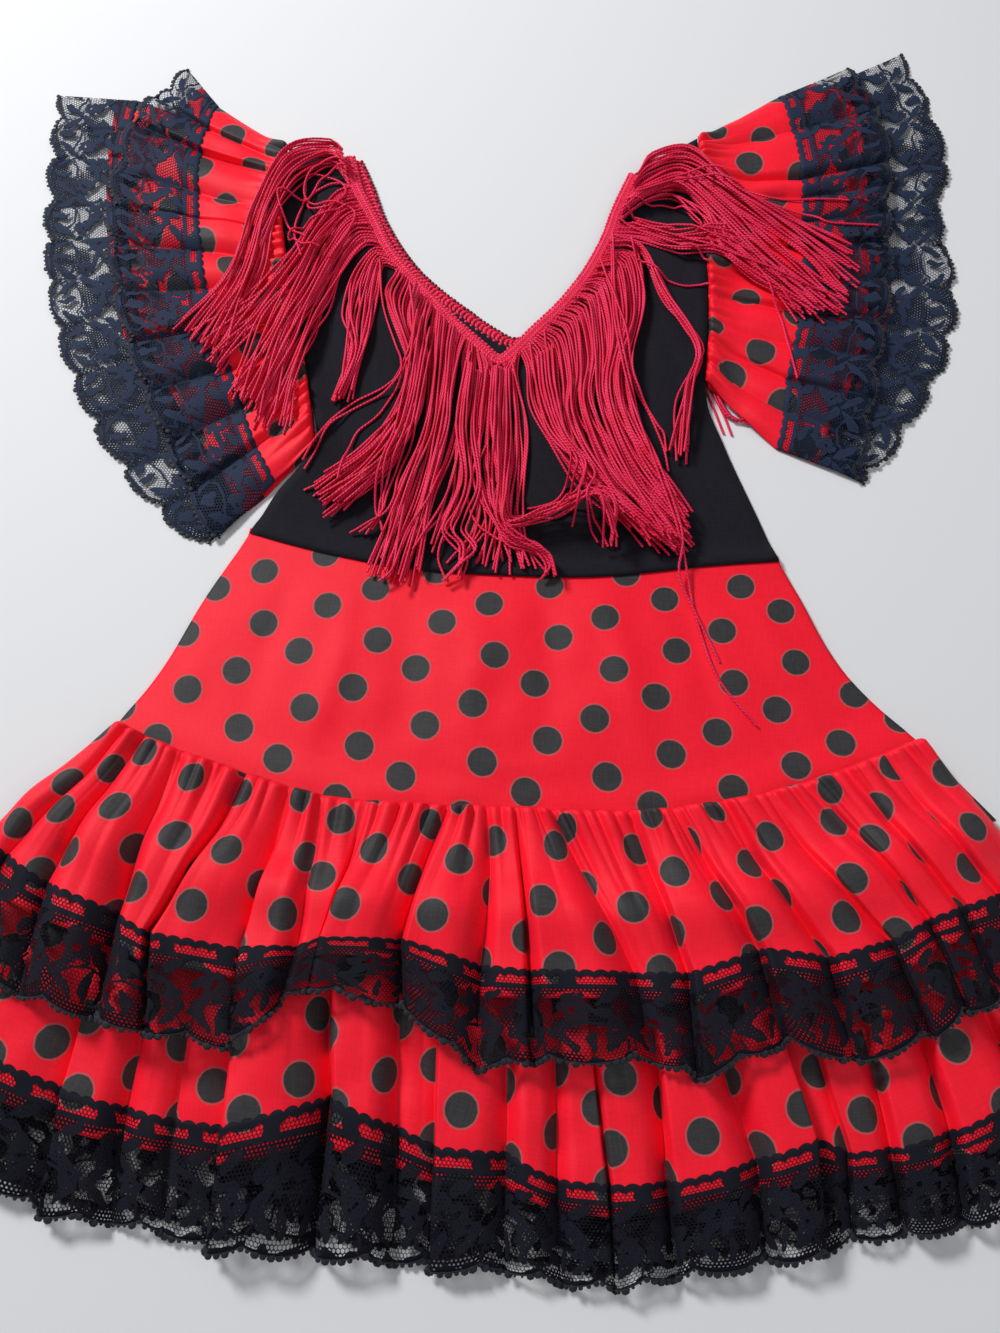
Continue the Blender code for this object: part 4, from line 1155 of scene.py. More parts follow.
def startTree(name, inputs):
    tree = bpy.data.node_groups.new(name, "GeometryNodeTree")
    tree.interface.new_socket("Line", in_out="INPUT", socket_type="NodeSocketGeometry")
    for label, kind, value in inputs:
        socket = tree.interface.new_socket(label, in_out="INPUT", socket_type=kind)
        if value is not None:
            socket.default_value = value
    tree.interface.new_socket("Made", in_out="OUTPUT", socket_type="NodeSocketGeometry")
    return tree, tree.nodes.new("NodeGroupInput"), tree.nodes.new("NodeGroupOutput")


def addNode(tree, kind, wires=(), **settings):
    # a node with its settings, and each named input linked or set
    node = tree.nodes.new(kind)
    for label, value in settings.items():
        setattr(node, label, value)
    for label, value in dict(wires).items():
        wire(tree, value, node.inputs[label])
    return node


def liveSocket(sockets, name):
    # of several sockets of one name, the one for the kind of value that is set
    return next(socket for socket in sockets if socket.name == name and socket.enabled)


def storeValue(tree, geometry, label, value, kind="FLOAT"):
    node = addNode(tree, "GeometryNodeStoreNamedAttribute",
                   {"Geometry": geometry, "Name": label}, data_type=kind, domain="POINT")
    tree.links.new(value, liveSocket(node.inputs, "Value"))
    return node.outputs["Geometry"]


def closeTree(tree, given, put, geometry):
    # every tree ends with a real, smooth mesh of one finish
    real = addNode(tree, "GeometryNodeRealizeInstances", {"Geometry": geometry})
    smooth = addNode(tree, "GeometryNodeSetShadeSmooth", {"Geometry": real.outputs[0]})
    painted = addNode(tree, "GeometryNodeSetMaterial",
                      {"Geometry": smooth.outputs[0], "Material": given.outputs["Finish"]})
    tree.links.new(painted.outputs[0], put.inputs[0])


def buildCordTree():
    # a closed tube along each line; its twist attribute holds the cosine and sine of the
    # angle round the cord and the length along it, for the plies of the finish
    tree, given, put = startTree("roundCord", [
        ("Radius", "NodeSocketFloat", 0.0008), ("Sides", "NodeSocketInt", 6),
        ("Finish", "NodeSocketMaterial", None)])
    along = addNode(tree, "GeometryNodeSplineParameter").outputs["Length"]
    line = storeValue(tree, given.outputs["Line"], "along", along)
    ring = addNode(tree, "GeometryNodeCurvePrimitiveCircle", {
        "Resolution": given.outputs["Sides"], "Radius": given.outputs["Radius"]})
    place = addNode(tree, "GeometryNodeSplineParameter").outputs["Factor"]
    angle = calc(tree, "MULTIPLY", place, 2 * math.pi)
    ring = storeValue(tree, ring.outputs["Curve"], "cosine", calc(tree, "COSINE", angle))
    ring = storeValue(tree, ring, "sine", calc(tree, "SINE", angle))
    tube = addNode(tree, "GeometryNodeCurveToMesh",
                   {"Curve": line, "Profile Curve": ring, "Fill Caps": True}).outputs[0]
    parts = [addNode(tree, "GeometryNodeInputNamedAttribute", {"Name": label}, data_type="FLOAT")
             .outputs["Attribute"] for label in ("cosine", "sine", "along")]
    twist = addNode(tree, "ShaderNodeCombineXYZ", {"X": parts[0], "Y": parts[1], "Z": parts[2]})
    tube = storeValue(tree, tube, "twist", twist.outputs[0], "FLOAT_VECTOR")
    for label in ("cosine", "sine", "along"):
        tube = addNode(tree, "GeometryNodeRemoveAttribute",
                       {"Geometry": tube, "Name": label}).outputs[0]
    closeTree(tree, given, put, tube)
    return tree


def buildStitchTree():
    # plump stitches at an even pitch beside a line, each turned by the same angle
    tree, given, put = startTree("stitchRow", [
        ("Pitch", "NodeSocketFloat", 0.0015), ("Offset", "NodeSocketFloat", 0.0),
        ("Turn", "NodeSocketFloat", 0.0), ("Size", "NodeSocketVector", (1.0, 1.0, 1.0)),
        ("Least", "NodeSocketFloat", 0.9), ("Most", "NodeSocketFloat", 1.1),
        ("Finish", "NodeSocketMaterial", None)])
    curve = addNode(tree, "GeometryNodeResampleCurve", {
        "Curve": given.outputs["Line"], "Length": given.outputs["Pitch"]}, mode="LENGTH")
    tangent = addNode(tree, "GeometryNodeInputTangent").outputs[0]
    aside = addNode(tree, "ShaderNodeVectorMath", {0: tangent, 1: (0.0, 0.0, 1.0)},
                    operation="CROSS_PRODUCT")
    aside = addNode(tree, "ShaderNodeVectorMath", {0: aside.outputs[0]}, operation="NORMALIZE")
    offset = addNode(tree, "ShaderNodeVectorMath", {0: aside.outputs[0]}, operation="SCALE")
    tree.links.new(given.outputs["Offset"], offset.inputs["Scale"])
    points = addNode(tree, "GeometryNodeSetPosition",
                     {"Geometry": curve.outputs[0], "Offset": offset.outputs[0]})
    stitch = addNode(tree, "GeometryNodeMeshUVSphere", {"Segments": 7, "Rings": 4, "Radius": 0.5})
    shaped = addNode(tree, "GeometryNodeTransform",
                     {"Geometry": stitch.outputs[0], "Scale": given.outputs["Size"]})
    heading = addNode(tree, "FunctionNodeAlignRotationToVector", {"Vector": tangent}, axis="X",
                      pivot_axis="Z")
    spin = addNode(tree, "FunctionNodeAxisAngleToRotation",
                   {"Axis": (0.0, 0.0, 1.0), "Angle": given.outputs["Turn"]})
    turned = addNode(tree, "FunctionNodeRotateRotation",
                     {"Rotation": heading.outputs[0], "Rotate By": spin.outputs[0]},
                     rotation_space="LOCAL")
    growth = addNode(tree, "FunctionNodeRandomValue", {"Seed": 11}, data_type="FLOAT")
    for label, side in (("Min", "Least"), ("Max", "Most")):
        tree.links.new(given.outputs[side], liveSocket(growth.inputs, label))
    size = liveSocket(growth.outputs, "Value")
    placed = addNode(tree, "GeometryNodeInstanceOnPoints", {
        "Points": points.outputs[0], "Instance": shaped.outputs[0],
        "Rotation": turned.outputs[0], "Scale": size})
    closeTree(tree, given, put, placed.outputs[0])
    return tree


trees = {"cord": buildCordTree(), "stitches": buildStitchTree()}


def lineObject(name, lines):
    # a curve object with one open line for each list of points
    curve = bpy.data.curves.new(name, "CURVE")
    curve.dimensions = "3D"
    for points in lines:
        placed = (np.asarray(points, float) + (*outlineOrigin, 0.0)) * mm
        spline = curve.splines.new("POLY")
        spline.points.add(len(placed) - 1)
        spline.points.foreach_set("co", np.c_[placed, np.ones(len(placed))].reshape(-1).tolist())
    return addObject(name, curve)


def growAlong(name, lines, tree, **inputs):
    # run a tree on the lines and keep its result as a plain mesh
    source = lineObject(name + "Line", lines)
    modifier = source.modifiers.new(name, "NODES")
    modifier.node_group = tree
    labels = {item.name: item.identifier for item in tree.interface.items_tree
              if item.item_type == "SOCKET" and item.in_out == "INPUT"}
    for label, value in inputs.items():
        modifier[labels[label]] = value
    source.update_tag()
    view = bpy.context.evaluated_depsgraph_get()
    view.update()
    mesh = bpy.data.meshes.new_from_object(source.evaluated_get(view), depsgraph=view)
    mesh.name = name
    bpy.data.objects.remove(source)
    return addObject(name, mesh)


def joinMeshes(name, parts):
    # one mesh from several, each part's materials kept
    with bpy.context.temp_override(active_object=parts[0], selected_editable_objects=parts,
                                   object=parts[0], selected_objects=parts):
        bpy.ops.object.join()
    parts[0].name = name
    parts[0].data.name = name
    return parts[0]


# the fringed neckline

fringe = {
    "cords": 384,
    "backCords": 44,
    "radius": 0.8,
    "sides": 5,
    "stations": 36,  # points along a cord
    "looseStations": 56,
    "bedding": 1.0,  # share of its radius that a cord sinks into the ones below
    "swing": (0.2, 0.9),  # how far a cord swings aside at its tip, least and most
    "swingTurns": (9, 16),  # radians of that swing over the cord's length
    "braidWidth": 9.2,
    "braidInset": 0.2,
    "braidLift": 0.3,
    "rootShare": 0.8,  # the cords start this far out from the braid's middle
    "Plait": (2.2, (5.4, 2.4, 2.5)),  # pitch and size of the stitches of each row
    "Chain": (2.2, (2.8, 1.7, 2.7)),
    "Bumps": (3.1, (2.9, 2.7, 2.2)),
    "plaitOffset": 1.75,
    "plaitTurn": 40,  # degrees from the neckline
    "bumpInset": 0.7,
    "bumpDrop": 0.2,
    "neckBumpOffset": 0.6,
    "wander": (0.4, 1.0, 2.0, 3.6, 5.0),  # how far a cord strays in mm, point by point
    "mixing": 0.12,  # share of the lock's width that it strays, more towards its tip
    "overlap": 0.15,  # share of that width that it may pass beyond the lock
    "tipSpread": 7.0,
    "sweptWander": (0.4, 2.4),  # how much more a swept cord strays at each point, and the most
}

# locks of fringe: place on the neckline (0 at the left shoulder, 1 at the right one), then
# the points that the cord passes and its tip
frontLocks = [
    [(0.01, (-126, 406), (-155, 395), (-174, 345), (-186, 290), (-214, 240)),
     (0.03, (-126, 401), (-154, 386), (-168, 340), (-178, 286), (-200, 228)),
     (0.06, (-124, 394), (-146, 375), (-160, 335), (-166, 290), (-184, 218))],
    [(0.065, (-120, 366), (-134, 336), (-144, 306), (-168, 266), (-206, 228)),
     (0.12, (-112, 343), (-126, 316), (-136, 282), (-152, 238), (-172, 188)),
     (0.17, (-104, 328), (-117, 298), (-128, 262), (-142, 225), (-158, 168)),
     (0.205, (-96, 316), (-110, 292), (-119, 262), (-130, 225), (-140, 160))],
    [(0.21, (-92, 312), (-104, 290), (-107, 256), (-103, 222), (-110, 186)),
     (0.26, (-82, 298), (-84, 274), (-85, 248), (-93, 219), (-100, 188))],
    [(0.263, (-78, 268), (-61, 213), (-66, 178), (-85, 148), (-118, 124)),
     (0.31, (-62, 250), (-55, 209), (-59, 173), (-80, 138), (-112, 110)),
     (0.36, (-50, 240), (-49, 206), (-53, 172), (-72, 130), (-104, 99))],
    [(0.363, (-47, 238), (-47, 200), (-50, 160), (-66, 118), (-78, 64)),
     (0.40, (-37, 230), (-39, 194), (-43, 158), (-53, 112), (-66, 57)),
     (0.44, (-27, 221), (-31, 190), (-35, 156), (-43, 108), (-53, 55))],
    [(0.443, (-25, 219), (-27, 188), (-31, 150), (-38, 110), (-52, 70)),
     (0.465, (-17, 211), (-20, 180), (-23, 150), (-25, 116), (-38, 82))],
    [(0.468, (-13, 206), (-16, 174), (-19, 140), (-15, 100), (-28, 64)),
     (0.495, (-2, 203), (-3, 170), (-3, 136), (0, 98), (-3, 66)),
     (0.527, (11, 206), (15, 172), (15, 138), (9, 98), (25, 60))],
    [(0.53, (18, 212), (21, 182), (31, 155), (50, 121), (84, 88)),
     (0.60, (43, 236), (46, 200), (45, 166), (65, 118), (97, 79)),
     (0.70, (67, 272), (71, 228), (67, 184), (84, 126), (112, 79)),
     (0.76, (83, 296), (86, 246), (77, 196), (88, 146), (116, 94)),
     (0.805, (95, 308), (98, 264), (86, 213), (86, 160), (112, 109))],
    [(0.815, (98, 310), (112, 268), (132, 224), (120, 190), (114, 146)),
     (0.835, (101, 308), (116, 270), (135, 224), (126, 196), (118, 142))],
    [(0.84, (100, 320), (128, 308), (156, 298), (184, 278), (206, 252)),
     (0.868, (106, 336), (126, 327), (152, 322), (180, 305), (214, 262))],
    [(0.87, (104, 354), (125, 358), (141, 336), (158, 300), (206, 252)),
     (0.91, (106, 364), (131, 370), (152, 344), (182, 304), (226, 254)),
     (0.95, (108, 378), (134, 386), (168, 352), (206, 312), (238, 268)),
     (0.99, (112, 396), (140, 399), (168, 362), (207, 337), (246, 306))],
]
backLocks = [
    [(0.05, (-112, 360), (-116, 310), (-112, 260), (-104, 215), (-98, 185)),
     (0.40, (-34, 250), (-38, 205), (-42, 160), (-44, 115), (-46, 88))],
    [(0.55, (24, 232), (34, 190), (44, 150), (58, 115), (66, 92)),
     (0.86, (88, 320), (100, 275), (108, 230), (112, 190), (114, 160))],
    [(0.88, (98, 325), (114, 280), (126, 232), (142, 190), (149, 166)),
     (0.92, (104, 335), (120, 285), (131, 235), (150, 178), (168, 172))],
]

# single cords that lie apart from the locks
looseCords = [
    [(78, 318), (78, 234), (92, 150), (110, 84), (116, 55), (119, 30), (128, -10), (148, -40)],
    [(79, 320), (80, 235), (94, 152), (112, 86), (110, 58), (116, 40), (121, 26), (130, 0)],
    [(-108, 372), (-122, 376), (-137, 366), (-138, 352), (-126, 348), (-114, 356), (-112, 368),
     (-122, 380), (-140, 382), (-142, 360), (-146, 330), (-138, 300)],
    [(-106, 385), (-124, 392), (-138, 384), (-142, 366), (-134, 354), (-118, 352), (-104, 344),
     (-108, 320), (-118, 296)],
    [(-104, 380), (-118, 385), (-132, 378), (-140, 358), (-158, 358), (-150, 330), (-136, 318)],
    [(-106, 352), (-128, 340), (-150, 324), (-140, 312), (-126, 305)],
    [(-62, 275), (-58, 240), (-62, 214), (-76, 196), (-96, 184), (-112, 170), (-122, 150),
     (-127, 140)],
    [(-50, 262), (-54, 232), (-62, 208), (-78, 176), (-94, 160), (-100, 140), (-102, 122)],
    [(-10, 218), (2, 170), (6, 130), (5, 98), (20, 99), (35, 98), (52, 108), (62, 112)],
    [(30, 240), (34, 190), (44, 140), (60, 112), (66, 98), (72, 86), (72, 78)],
    [(20, 230), (26, 180), (36, 150), (52, 118), (58, 100), (64, 88), (68, 78)],
    [(84, 338), (96, 330), (120, 318), (145, 300)],
    [(90, 352), (104, 352), (118, 355), (130, 350), (140, 334), (142, 328)],
    [(88, 346), (102, 336), (118, 330), (142, 326), (158, 324)],
    [(96, 300), (118, 284), (145, 280)],
    [(96, 356), (150, 370), (190, 352), (222, 340), (235, 332), (268, 331)],
    [(98, 362), (150, 378), (180, 366), (203, 356), (250, 354)],
    [(96, 340), (140, 322), (176, 290), (190, 256), (194, 230), (198, 202)],
    [(94, 336), (120, 322), (160, 300), (200, 280), (226, 268), (238, 262)],
    [(70, 300), (84, 240), (88, 200), (98, 176), (106, 150), (108, 132)],
    [(-20, 222), (-30, 160), (-44, 110), (-58, 84), (-66, 60), (-74, 52)],
    [(8, 214), (18, 160), (14, 110), (16, 84), (22, 70), (30, 58)],
    [(0, 212), (-6, 160), (-20, 120), (-16, 96), (-6, 84), (4, 78), (22, 77)],
    [(-8, 212), (-14, 150), (-22, 110), (-34, 86), (-38, 70), (-34, 56)],
    [(-84, 300), (-80, 262), (-66, 214), (-70, 196), (-100, 176), (-112, 166), (-120, 146),
     (-126, 134)],
    [(92, 316), (99, 268), (88, 214), (92, 190), (102, 168), (107, 160), (108, 146)],
]

# cords that are swept aside together: the first way, the last way and how many there are
sweptCords = [
    ([(6, 208), (4, 165), (5, 125), (6, 97), (27, 99), (50, 107), (64, 109), (72, 97), (72, 77)],
     [(-4, 208), (-6, 165), (-1, 122), (3, 87), (24, 92), (44, 98), (56, 104), (63, 92),
      (66, 77)], 9),
    ([(-14, 207), (-19, 160), (-17, 120), (-4, 92), (6, 76), (20, 72), (28, 63), (24, 56)],
     [(8, 208), (9, 150), (7, 112), (2, 90), (10, 80), (24, 74), (31, 66), (34, 54)], 7),
    ([(-24, 214), (-30, 165), (-26, 128), (-33, 104), (-38, 88), (-30, 76), (-22, 66), (-20, 58)],
     [(-14, 208), (-16, 160), (-12, 120), (-18, 98), (-22, 88), (-14, 74), (-24, 62),
      (-36, 52)], 6),
    ([(-56, 250), (-60, 205), (-66, 165), (-74, 140), (-80, 122), (-78, 104), (-74, 94),
      (-72, 86)],
     [(-44, 236), (-48, 200), (-54, 160), (-64, 130), (-66, 112), (-72, 100), (-84, 96),
      (-96, 90)], 5),
    ([(24, 218), (26, 185), (36, 152), (44, 134), (42, 122), (34, 112), (22, 108), (12, 104)],
     [(36, 228), (38, 190), (42, 152), (56, 128), (60, 116), (56, 104), (60, 92), (64, 80)], 5),
]


def neckLine(left, right):
    # the braid's own line along the neckline, and the way out from it over the cloth
    path = np.vstack([curveThrough(outlines[left], 80)[:-1], curveThrough(outlines[right], 80)])
    step = np.gradient(path, axis=0)
    step /= np.linalg.norm(step, axis=1)[:, None]
    outward = np.stack([step[:, 1], -step[:, 0]], axis=1)
    return path + outward * (fringe["braidWidth"] / 2 + fringe["braidInset"]), outward


def lockedPath(locks, share, root):
    # the way of a cord between the two rows of its lock, with its own small wandering
    pairs = [pair for lock in locks for pair in zip(lock, lock[1:])]
    first, second = min(pairs, key=lambda pair: max(pair[0][0] - share, share - pair[1][0], 0.0))
    f = (share - first[0]) / (second[0] - first[0])
    way = [root]
    for number, (p, q) in enumerate(zip(first[1:], second[1:])):
        stray = rng.uniform(-1, 1, 2) * fringe["wander"][number]
        mixed = f + rng.uniform(-fringe["mixing"], fringe["mixing"]) * number / 2
        mixed = np.clip(mixed, -fringe["overlap"], 1 + fringe["overlap"])
        way.append((1 - mixed) * np.array(p, float) + mixed * np.array(q, float) + stray)
    last = way[-1] - way[-2]
    way[-1] = way[-1] + last / np.linalg.norm(last) * rng.uniform(-1, 0.7) * fringe["tipSpread"]
    return way


def sweptWays(bundles):
    # the ways of cords that run together, each with its own small wandering
    ways = []
    more, most = fringe["sweptWander"]
    for first, last, count in bundles:
        for number in range(count):
            f = (number + rng.uniform(0.1, 0.9)) / count
            stray = np.minimum(more * np.arange(len(first)), most)[:, None]
            way = (1 - f) * np.array(first, float) + f * np.array(last, float)
            ways.append(way + stray * rng.uniform(-1, 1, way.shape))
    return ways


def settleCord(way, stations):
    # lay one cord on what is there, and add it to the ground
    radius = fringe["radius"]
    flat = curveThrough(way, stations)
    step = np.gradient(flat, axis=0)
    step /= np.linalg.norm(step, axis=1)[:, None]
    side = np.stack([-step[:, 1], step[:, 0]], axis=1)
    along = np.linspace(0, 1, stations)
    swing = rng.uniform(*fringe["swing"])
    turns = rng.uniform(*fringe["swingTurns"])
    wave = swing * along * np.sin(turns * along + rng.uniform(0, 6.3))
    flat = flat + side * wave[:, None]
    strip = [flat + side * across for across in (-0.7 * radius, 0.0, 0.7 * radius)]
    under = np.max([ground.read(ground.height, p[:, 0], p[:, 1]) for p in strip], axis=0)
    level = windowed(windowed(under, 2, np.max), 2, np.mean) + radius
    crest = level + radius * (1 - fringe["bedding"])
    ground.press(np.stack([np.c_[p, crest] for p in strip]), 0.5)
    return np.c_[flat, level]


def makeFringe(name, left, right, locks, count, extra=(), coarser=1.0):
    # a plaited braid of stitches along the neckline, and its cords
    path, outward = neckLine(left, right)
    half = fringe["braidWidth"] / 2
    lines = [path + outward * across for across in (-half, 0.0, half)]
    level = np.max([ground.read(ground.spread(1), p[:, 0], p[:, 1]) for p in lines], axis=0)
    level = windowed(level, 3, np.max)
    line = np.c_[path, level + 0.5 * fringe["Plait"][1][2] + fringe["braidLift"]]
    cords = []
    shares = (np.arange(count) + 0.5) / count
    for share in shares[rng.permutation(count)]:
        root = pointAt(path, share) + pointAt(outward, share) * half * fringe["rootShare"]
        cords.append(settleCord(lockedPath(locks, share, root), fringe["stations"]))
    for way in extra:
        cords.append(settleCord([np.array(p, float) for p in way], fringe["looseStations"]))
    lengths = [np.linalg.norm(np.diff(cord, axis=0), axis=1).sum() for cord in cords]
    print(name, len(cords), "cords,", round(min(lengths)), "to", round(max(lengths)), "mm, mean",
          round(sum(lengths) / len(lengths)))
    made = growAlong(name, cords, trees["cord"], Radius=fringe["radius"] * mm,
                     Sides=fringe["sides"], Finish=finishes["cord"])
    turn, aside = math.radians(fringe["plaitTurn"]), fringe["plaitOffset"]
    rim, low = half - fringe["bumpInset"], line - (0, 0, fringe["bumpDrop"])
    braid = []
    for part, at, angle, across in (
            ("Plait", line, turn, -aside), ("Plait", line, -turn, aside),
            ("Chain", line, 0.0, 0.0), ("Bumps", low, 0.0, -rim), ("Bumps", low, 0.0, rim)):
        pitch, size = fringe[part]
        braid.append(growAlong(name + part, [at], trees["stitches"], Pitch=coarser * pitch * mm,
                               Size=inMetres(size), Turn=angle, Offset=across * mm,
                               Finish=finishes["gimp"]))
    return made, joinMeshes(name + "Braid", braid)


# lace edges: a thin cord with small picots

trim = {
    "edgeRadius": 0.5,
    "edgeDrop": 0.25,
    "picotPitch": 3.9,
    "picotSize": (3.9, 3.3, 0.9),
    "picotShares": (0.35, 1.3),  # the least and the most that a picot has of that size
    "picotOffset": 0.8,
}


def edgeTrim(name, flounce, towardsEdge):
    # the corded free edge of a lace, with its picots on the outer side
    line = flounce["edge"] - (0.0, 0.0, trim["edgeDrop"])
    least, most = trim["picotShares"]
    cordLine = growAlong(name, [line], trees["cord"], Radius=trim["edgeRadius"] * mm,
                         Sides=fringe["sides"], Finish=finishes["blackThread"])
    picots = growAlong(name + "Picots", [line], trees["stitches"], Pitch=trim["picotPitch"] * mm,
                       Offset=towardsEdge * trim["picotOffset"] * mm, Turn=0.0,
                       Size=inMetres(trim["picotSize"]), Least=least, Most=most,
                       Finish=finishes["blackThread"])
    return joinMeshes(name, [cordLine, picots])


# the dress is laid down from the floor up

def laid(seed, reach=4, ease=0.05, lift=0.0):
    # how a strip is laid down: reach is how far its cloth bridges what is below, and ease
    # is the share of its length in which it comes away from the seam
    return {"reach": reach, "seamEase": ease, "ripple": 0.6, "wave": 34.0, "seed": seed,
            "lift": lift}


tierOneLine = droppedLine(0.0) + (0.0, dress["lap"] / 4)
tierTwoLine = droppedLine(dress["baseDrop"] - dress["lap"])
hiddenFolds = {"riseShare": 0.12, "tuckShare": 0.0, "shorter": 6.0}
puckers = {"seed": 21, "pitch": (5.5, 12.0), "height": (2.8, 6.4), "length": (10, 42), "ease": 1.5}
softFolds = {"seed": 22, "pitch": (12, 27), "height": (1.3, 3.4), "length": (40, 95), "ease": 3.0}
sleevePuckers = {**puckers, "seed": 23, "pitch": (6.0, 10.0), "length": (9, 20)}

cloths = {}  # each strip by its piece name
plains = {}  # flat pieces

cloths["tierOneBack"] = makeFlounce(
    "tierOneBack", tierFolds(tierOneRows, tierOneLine, **hiddenFolds), hiddenTierSize,
    laid(41, lift=1.0), faceDown=True)
cloths["tierTwoBack"] = makeFlounce(
    "tierTwoBack", tierFolds(tierTwoRows, tierTwoLine, **hiddenFolds), hiddenTierSize,
    laid(42, lift=1.0), faceDown=True)
plains["skirtBack"] = makeSkirtBack()
print("back skirt and tiers laid")

fringeBack, braidBack = makeFringe("fringeBack", "backNeckLeft", "backNeckRight", backLocks,
                                   fringe["backCords"], coarser=1.6)
for side, sleeve in sleeves.items():
    name = "sleeveBack" + side
    cloths[name] = makeFlounce(name, sleeveFolds(sleeve, "underHead", "underEdge", 0.35),
                               underSleeveSize, laid(43), [sleevePuckers])
plains["bodiceBack"] = makeBodice("bodiceBack", "backNeckLeft", "backNeckRight",
                                  cols=80, rows=60, loft=0.6, reach=3, seed=44)
print("back fringe, sleeves and bodice laid")

# a row of bumps along the back neckline, which shows inside the neck, painted darker for shade
backNeck = np.vstack([curveThrough(outlines["backNeckLeft"], 60),
                      curveThrough(outlines["backNeckRight"], 60)[1:]])
level = ground.read(ground.spread(2), backNeck[:, 0], backNeck[:, 1])
bumpPitch, bumpSize = fringe["Bumps"]
neckBumps = growAlong("neckBumps", [np.c_[backNeck, level + fringe["braidLift"]]],
                      trees["stitches"], Turn=0.0, Pitch=bumpPitch * mm,
                      Offset=fringe["neckBumpOffset"] * mm, Size=inMetres(bumpSize),
                      Finish=finishes["gimpInShade"])
braidBack = joinMeshes("fringeBackBraid", [braidBack, neckBumps])

plains["skirtFront"] = makeSkirtFront()
plains["bodiceFront"] = makeBodice("bodiceFront", "neckLeft", "neckRight",
                                   cols=96, rows=84, loft=2.4, reach=4, seed=45,
                                   creases=bodice["frontCreases"])
cloths["tierTwoFront"] = makeFlounce(
    "tierTwoFront", tierFolds(tierTwoRows, tierTwoLine), lowerTierSize, laid(46), [softFolds])
cloths["tierOneFront"] = makeFlounce(
    "tierOneFront", tierFolds(tierOneRows, tierOneLine), tierSize, laid(47, reach=9, ease=0.12),
    [puckers, softFolds])
for side, sleeve in sleeves.items():
    name = "sleeveFront" + side
    cloths[name] = makeFlounce(name, sleeveFolds(sleeve, "head", "edge"), sleeveSize, laid(48),
                               [sleevePuckers])
print("front skirt, bodice, tiers and sleeves laid")

fringeFront, braidFront = makeFringe("fringeFront", "neckLeft", "neckRight", frontLocks,
                                     fringe["cords"], looseCords + sweptWays(sweptCords))
print("fringe laid")

edges = {}
for name, flounce in cloths.items():
    edges[name] = edgeTrim(name + "Edge", flounce, -1 if "Right" in name else 1)
print("lace edges trimmed")


# what each piece stands for and rests on, and the cut of each cloth

standsFor = {
    "tierOneBack": "tier1_back", "tierTwoBack": "tier2_back",
    "tierOneFront": "tier1_front", "tierTwoFront": "tier2_front",
    "sleeveBackLeft": "sleeve_back_left", "sleeveBackRight": "sleeve_back_right",
    "sleeveFrontLeft": "sleeve_front_left", "sleeveFrontRight": "sleeve_front_right",
    "skirtBack": "skirt_back", "skirtFront": "skirt_front",
    "bodiceBack": "bodice_back", "bodiceFront": "bodice_front",
}
restsOn = {
    "tierOneBack": ["floor"], "tierTwoBack": ["floor"],
    "tierOneFront": ["skirtFront", "tierTwoFront"], "tierTwoFront": ["skirtFront"],
    "sleeveBackLeft": ["floor"], "sleeveBackRight": ["floor"],
    "sleeveFrontLeft": ["sleeveBackLeft"], "sleeveFrontRight": ["sleeveBackRight"],
    "skirtBack": ["floor"], "skirtFront": ["skirtBack"],
    "bodiceBack": ["floor"], "bodiceFront": ["bodiceBack"],
}


def clothArea(piece):
    # area of a cloth's mesh in square metres; it is one surface until its wall is added
    return sum(face.area for face in piece.data.polygons)


def hang(piece, node):
    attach(piece, "root")
    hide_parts(node)


def printCut(name, wide, high, area):
    print("cut of", name, round(wide, 3), "x", round(high, 3), "m, area", round(area, 4))


def stripCut(strip, rows):
    # length and depth of a strip once it is drawn out flat
    part = strip["top"][rows]
    longest = np.linalg.norm(np.diff(part, axis=1), axis=2).sum(axis=1).max()
    deepest = np.linalg.norm(np.diff(part, axis=0), axis=2).sum(axis=0).max()
    return deepest * mm, longest * mm


for name, flounce in cloths.items():
    node = standsFor[name]
    edge = edges[name]
    hang(flounce["red"], node)
    hang(flounce["lace"], node + "_lace")
    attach(edge, "root")
    for piece, rows, under, pieces in (
            (flounce["red"], slice(0, flounce["hem"] + 1), restsOn[name], []),
            (flounce["lace"], slice(flounce["headRow"], None), [name], [edge])):
        depth, length = stripCut(flounce["strip"], rows)
        area = clothArea(piece)
        printCut(piece.name, length, depth, area)

flatEase = 0.004  # metres added to a flat piece's width and height for its soft folds
for name, piece in plains.items():
    hang(piece, standsFor[name])
    area = clothArea(piece)
    corners = np.array([corner[:] for corner in piece.bound_box])
    wide, high = np.ptp(corners, axis=0)[:2] + flatEase
    printCut(name, wide, high, area)

for piece, node in ((fringeFront, "fringe_front"), (braidFront, "fringe_front"),
                    (fringeBack, "fringe_back"), (braidBack, "fringe_back")):
    hang(piece, node)


# floor, light and camera

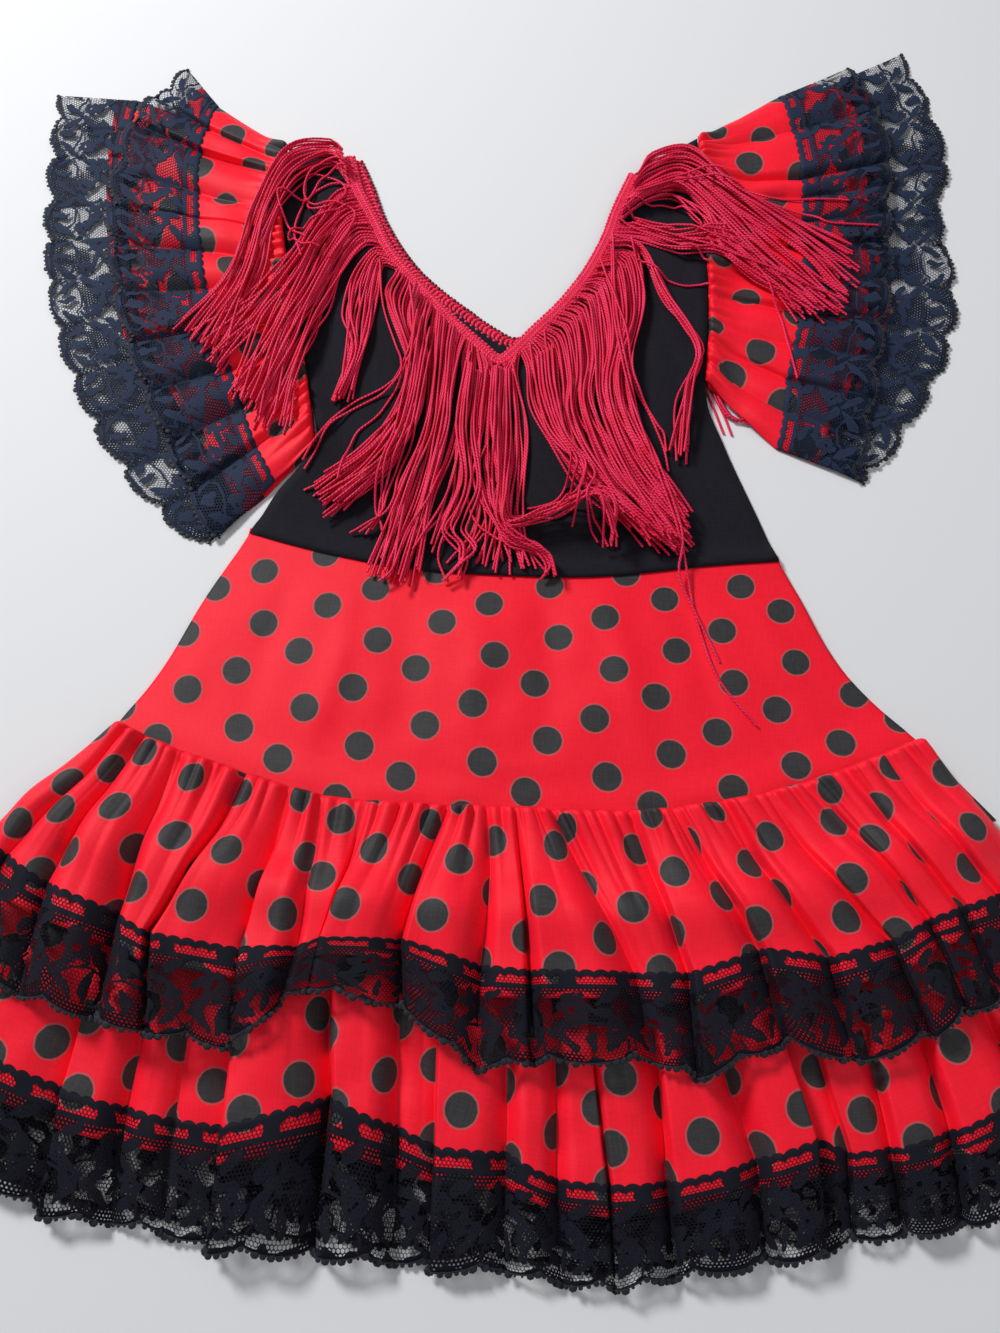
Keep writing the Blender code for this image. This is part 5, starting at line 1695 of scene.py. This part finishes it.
studio = {
    "floorReach": 3.0,  # metres
    "floorColour": (0.76, 0.77, 0.79),
    "key": ((-1440.0, 1280.0, 1600.0), 0.62, 57.0),  # place, size in metres, power
    "fill": ((650.0, -350.0, 1200.0), 1.4, 2.4),
    "aim": (0.0, 60.0, 0.0),
    "skyColour": (0.97, 0.98, 1.0),
    "skyStrength": 0.28,
    "cameraPlace": (0.00233, -0.3088, 0.5602),
    "cameraTilt": 21.0,
    "lens": 36.0,
    "sensor": 36.0,
}


def areaLight(name, place, size, power):
    light = bpy.data.lights.new(name, "AREA")
    light.shape = "DISK"
    light.size = size
    light.energy = power
    made = addObject(name, light)
    made.location = Vector(place) * mm
    aim = Vector(studio["aim"]) * mm - made.location
    made.rotation_euler = aim.to_track_quat("-Z", "Y").to_euler()


reach = studio["floorReach"]
floorMesh = bpy.data.meshes.new("floor")
floorMesh.from_pydata([(-reach, -reach, 0), (reach, -reach, 0), (reach, reach, 0),
                       (-reach, reach, 0)], [], [(0, 1, 2, 3)])
floor = addObject("floor", floorMesh)
floorFinish = bpy.data.materials.new("paleFloor")
floorFinish.use_nodes = True
floorShader = floorFinish.node_tree.nodes["Principled BSDF"]
floorShader.inputs["Base Color"].default_value = (*studio["floorColour"], 1.0)
floorShader.inputs["Roughness"].default_value = 0.9
floorMesh.materials.append(floorFinish)

for name in ("key", "fill"):
    areaLight(name, *studio[name])
world = bpy.data.worlds.new("studioSky")
world.use_nodes = True
sky = world.node_tree.nodes["Background"]
sky.inputs["Color"].default_value = (*studio["skyColour"], 1.0)
sky.inputs["Strength"].default_value = studio["skyStrength"]
bpy.context.scene.world = world
bpy.context.scene.view_settings.view_transform = "Standard"

lens = bpy.data.cameras.new("camera")
lens.lens = studio["lens"]
lens.sensor_width = studio["sensor"]
lens.sensor_fit = "HORIZONTAL"
camera = addObject("camera", lens)
camera.location = studio["cameraPlace"]
camera.rotation_euler = (math.radians(studio["cameraTilt"]), 0.0, 0.0)
bpy.context.scene.camera = camera
print("floor, light and camera placed")
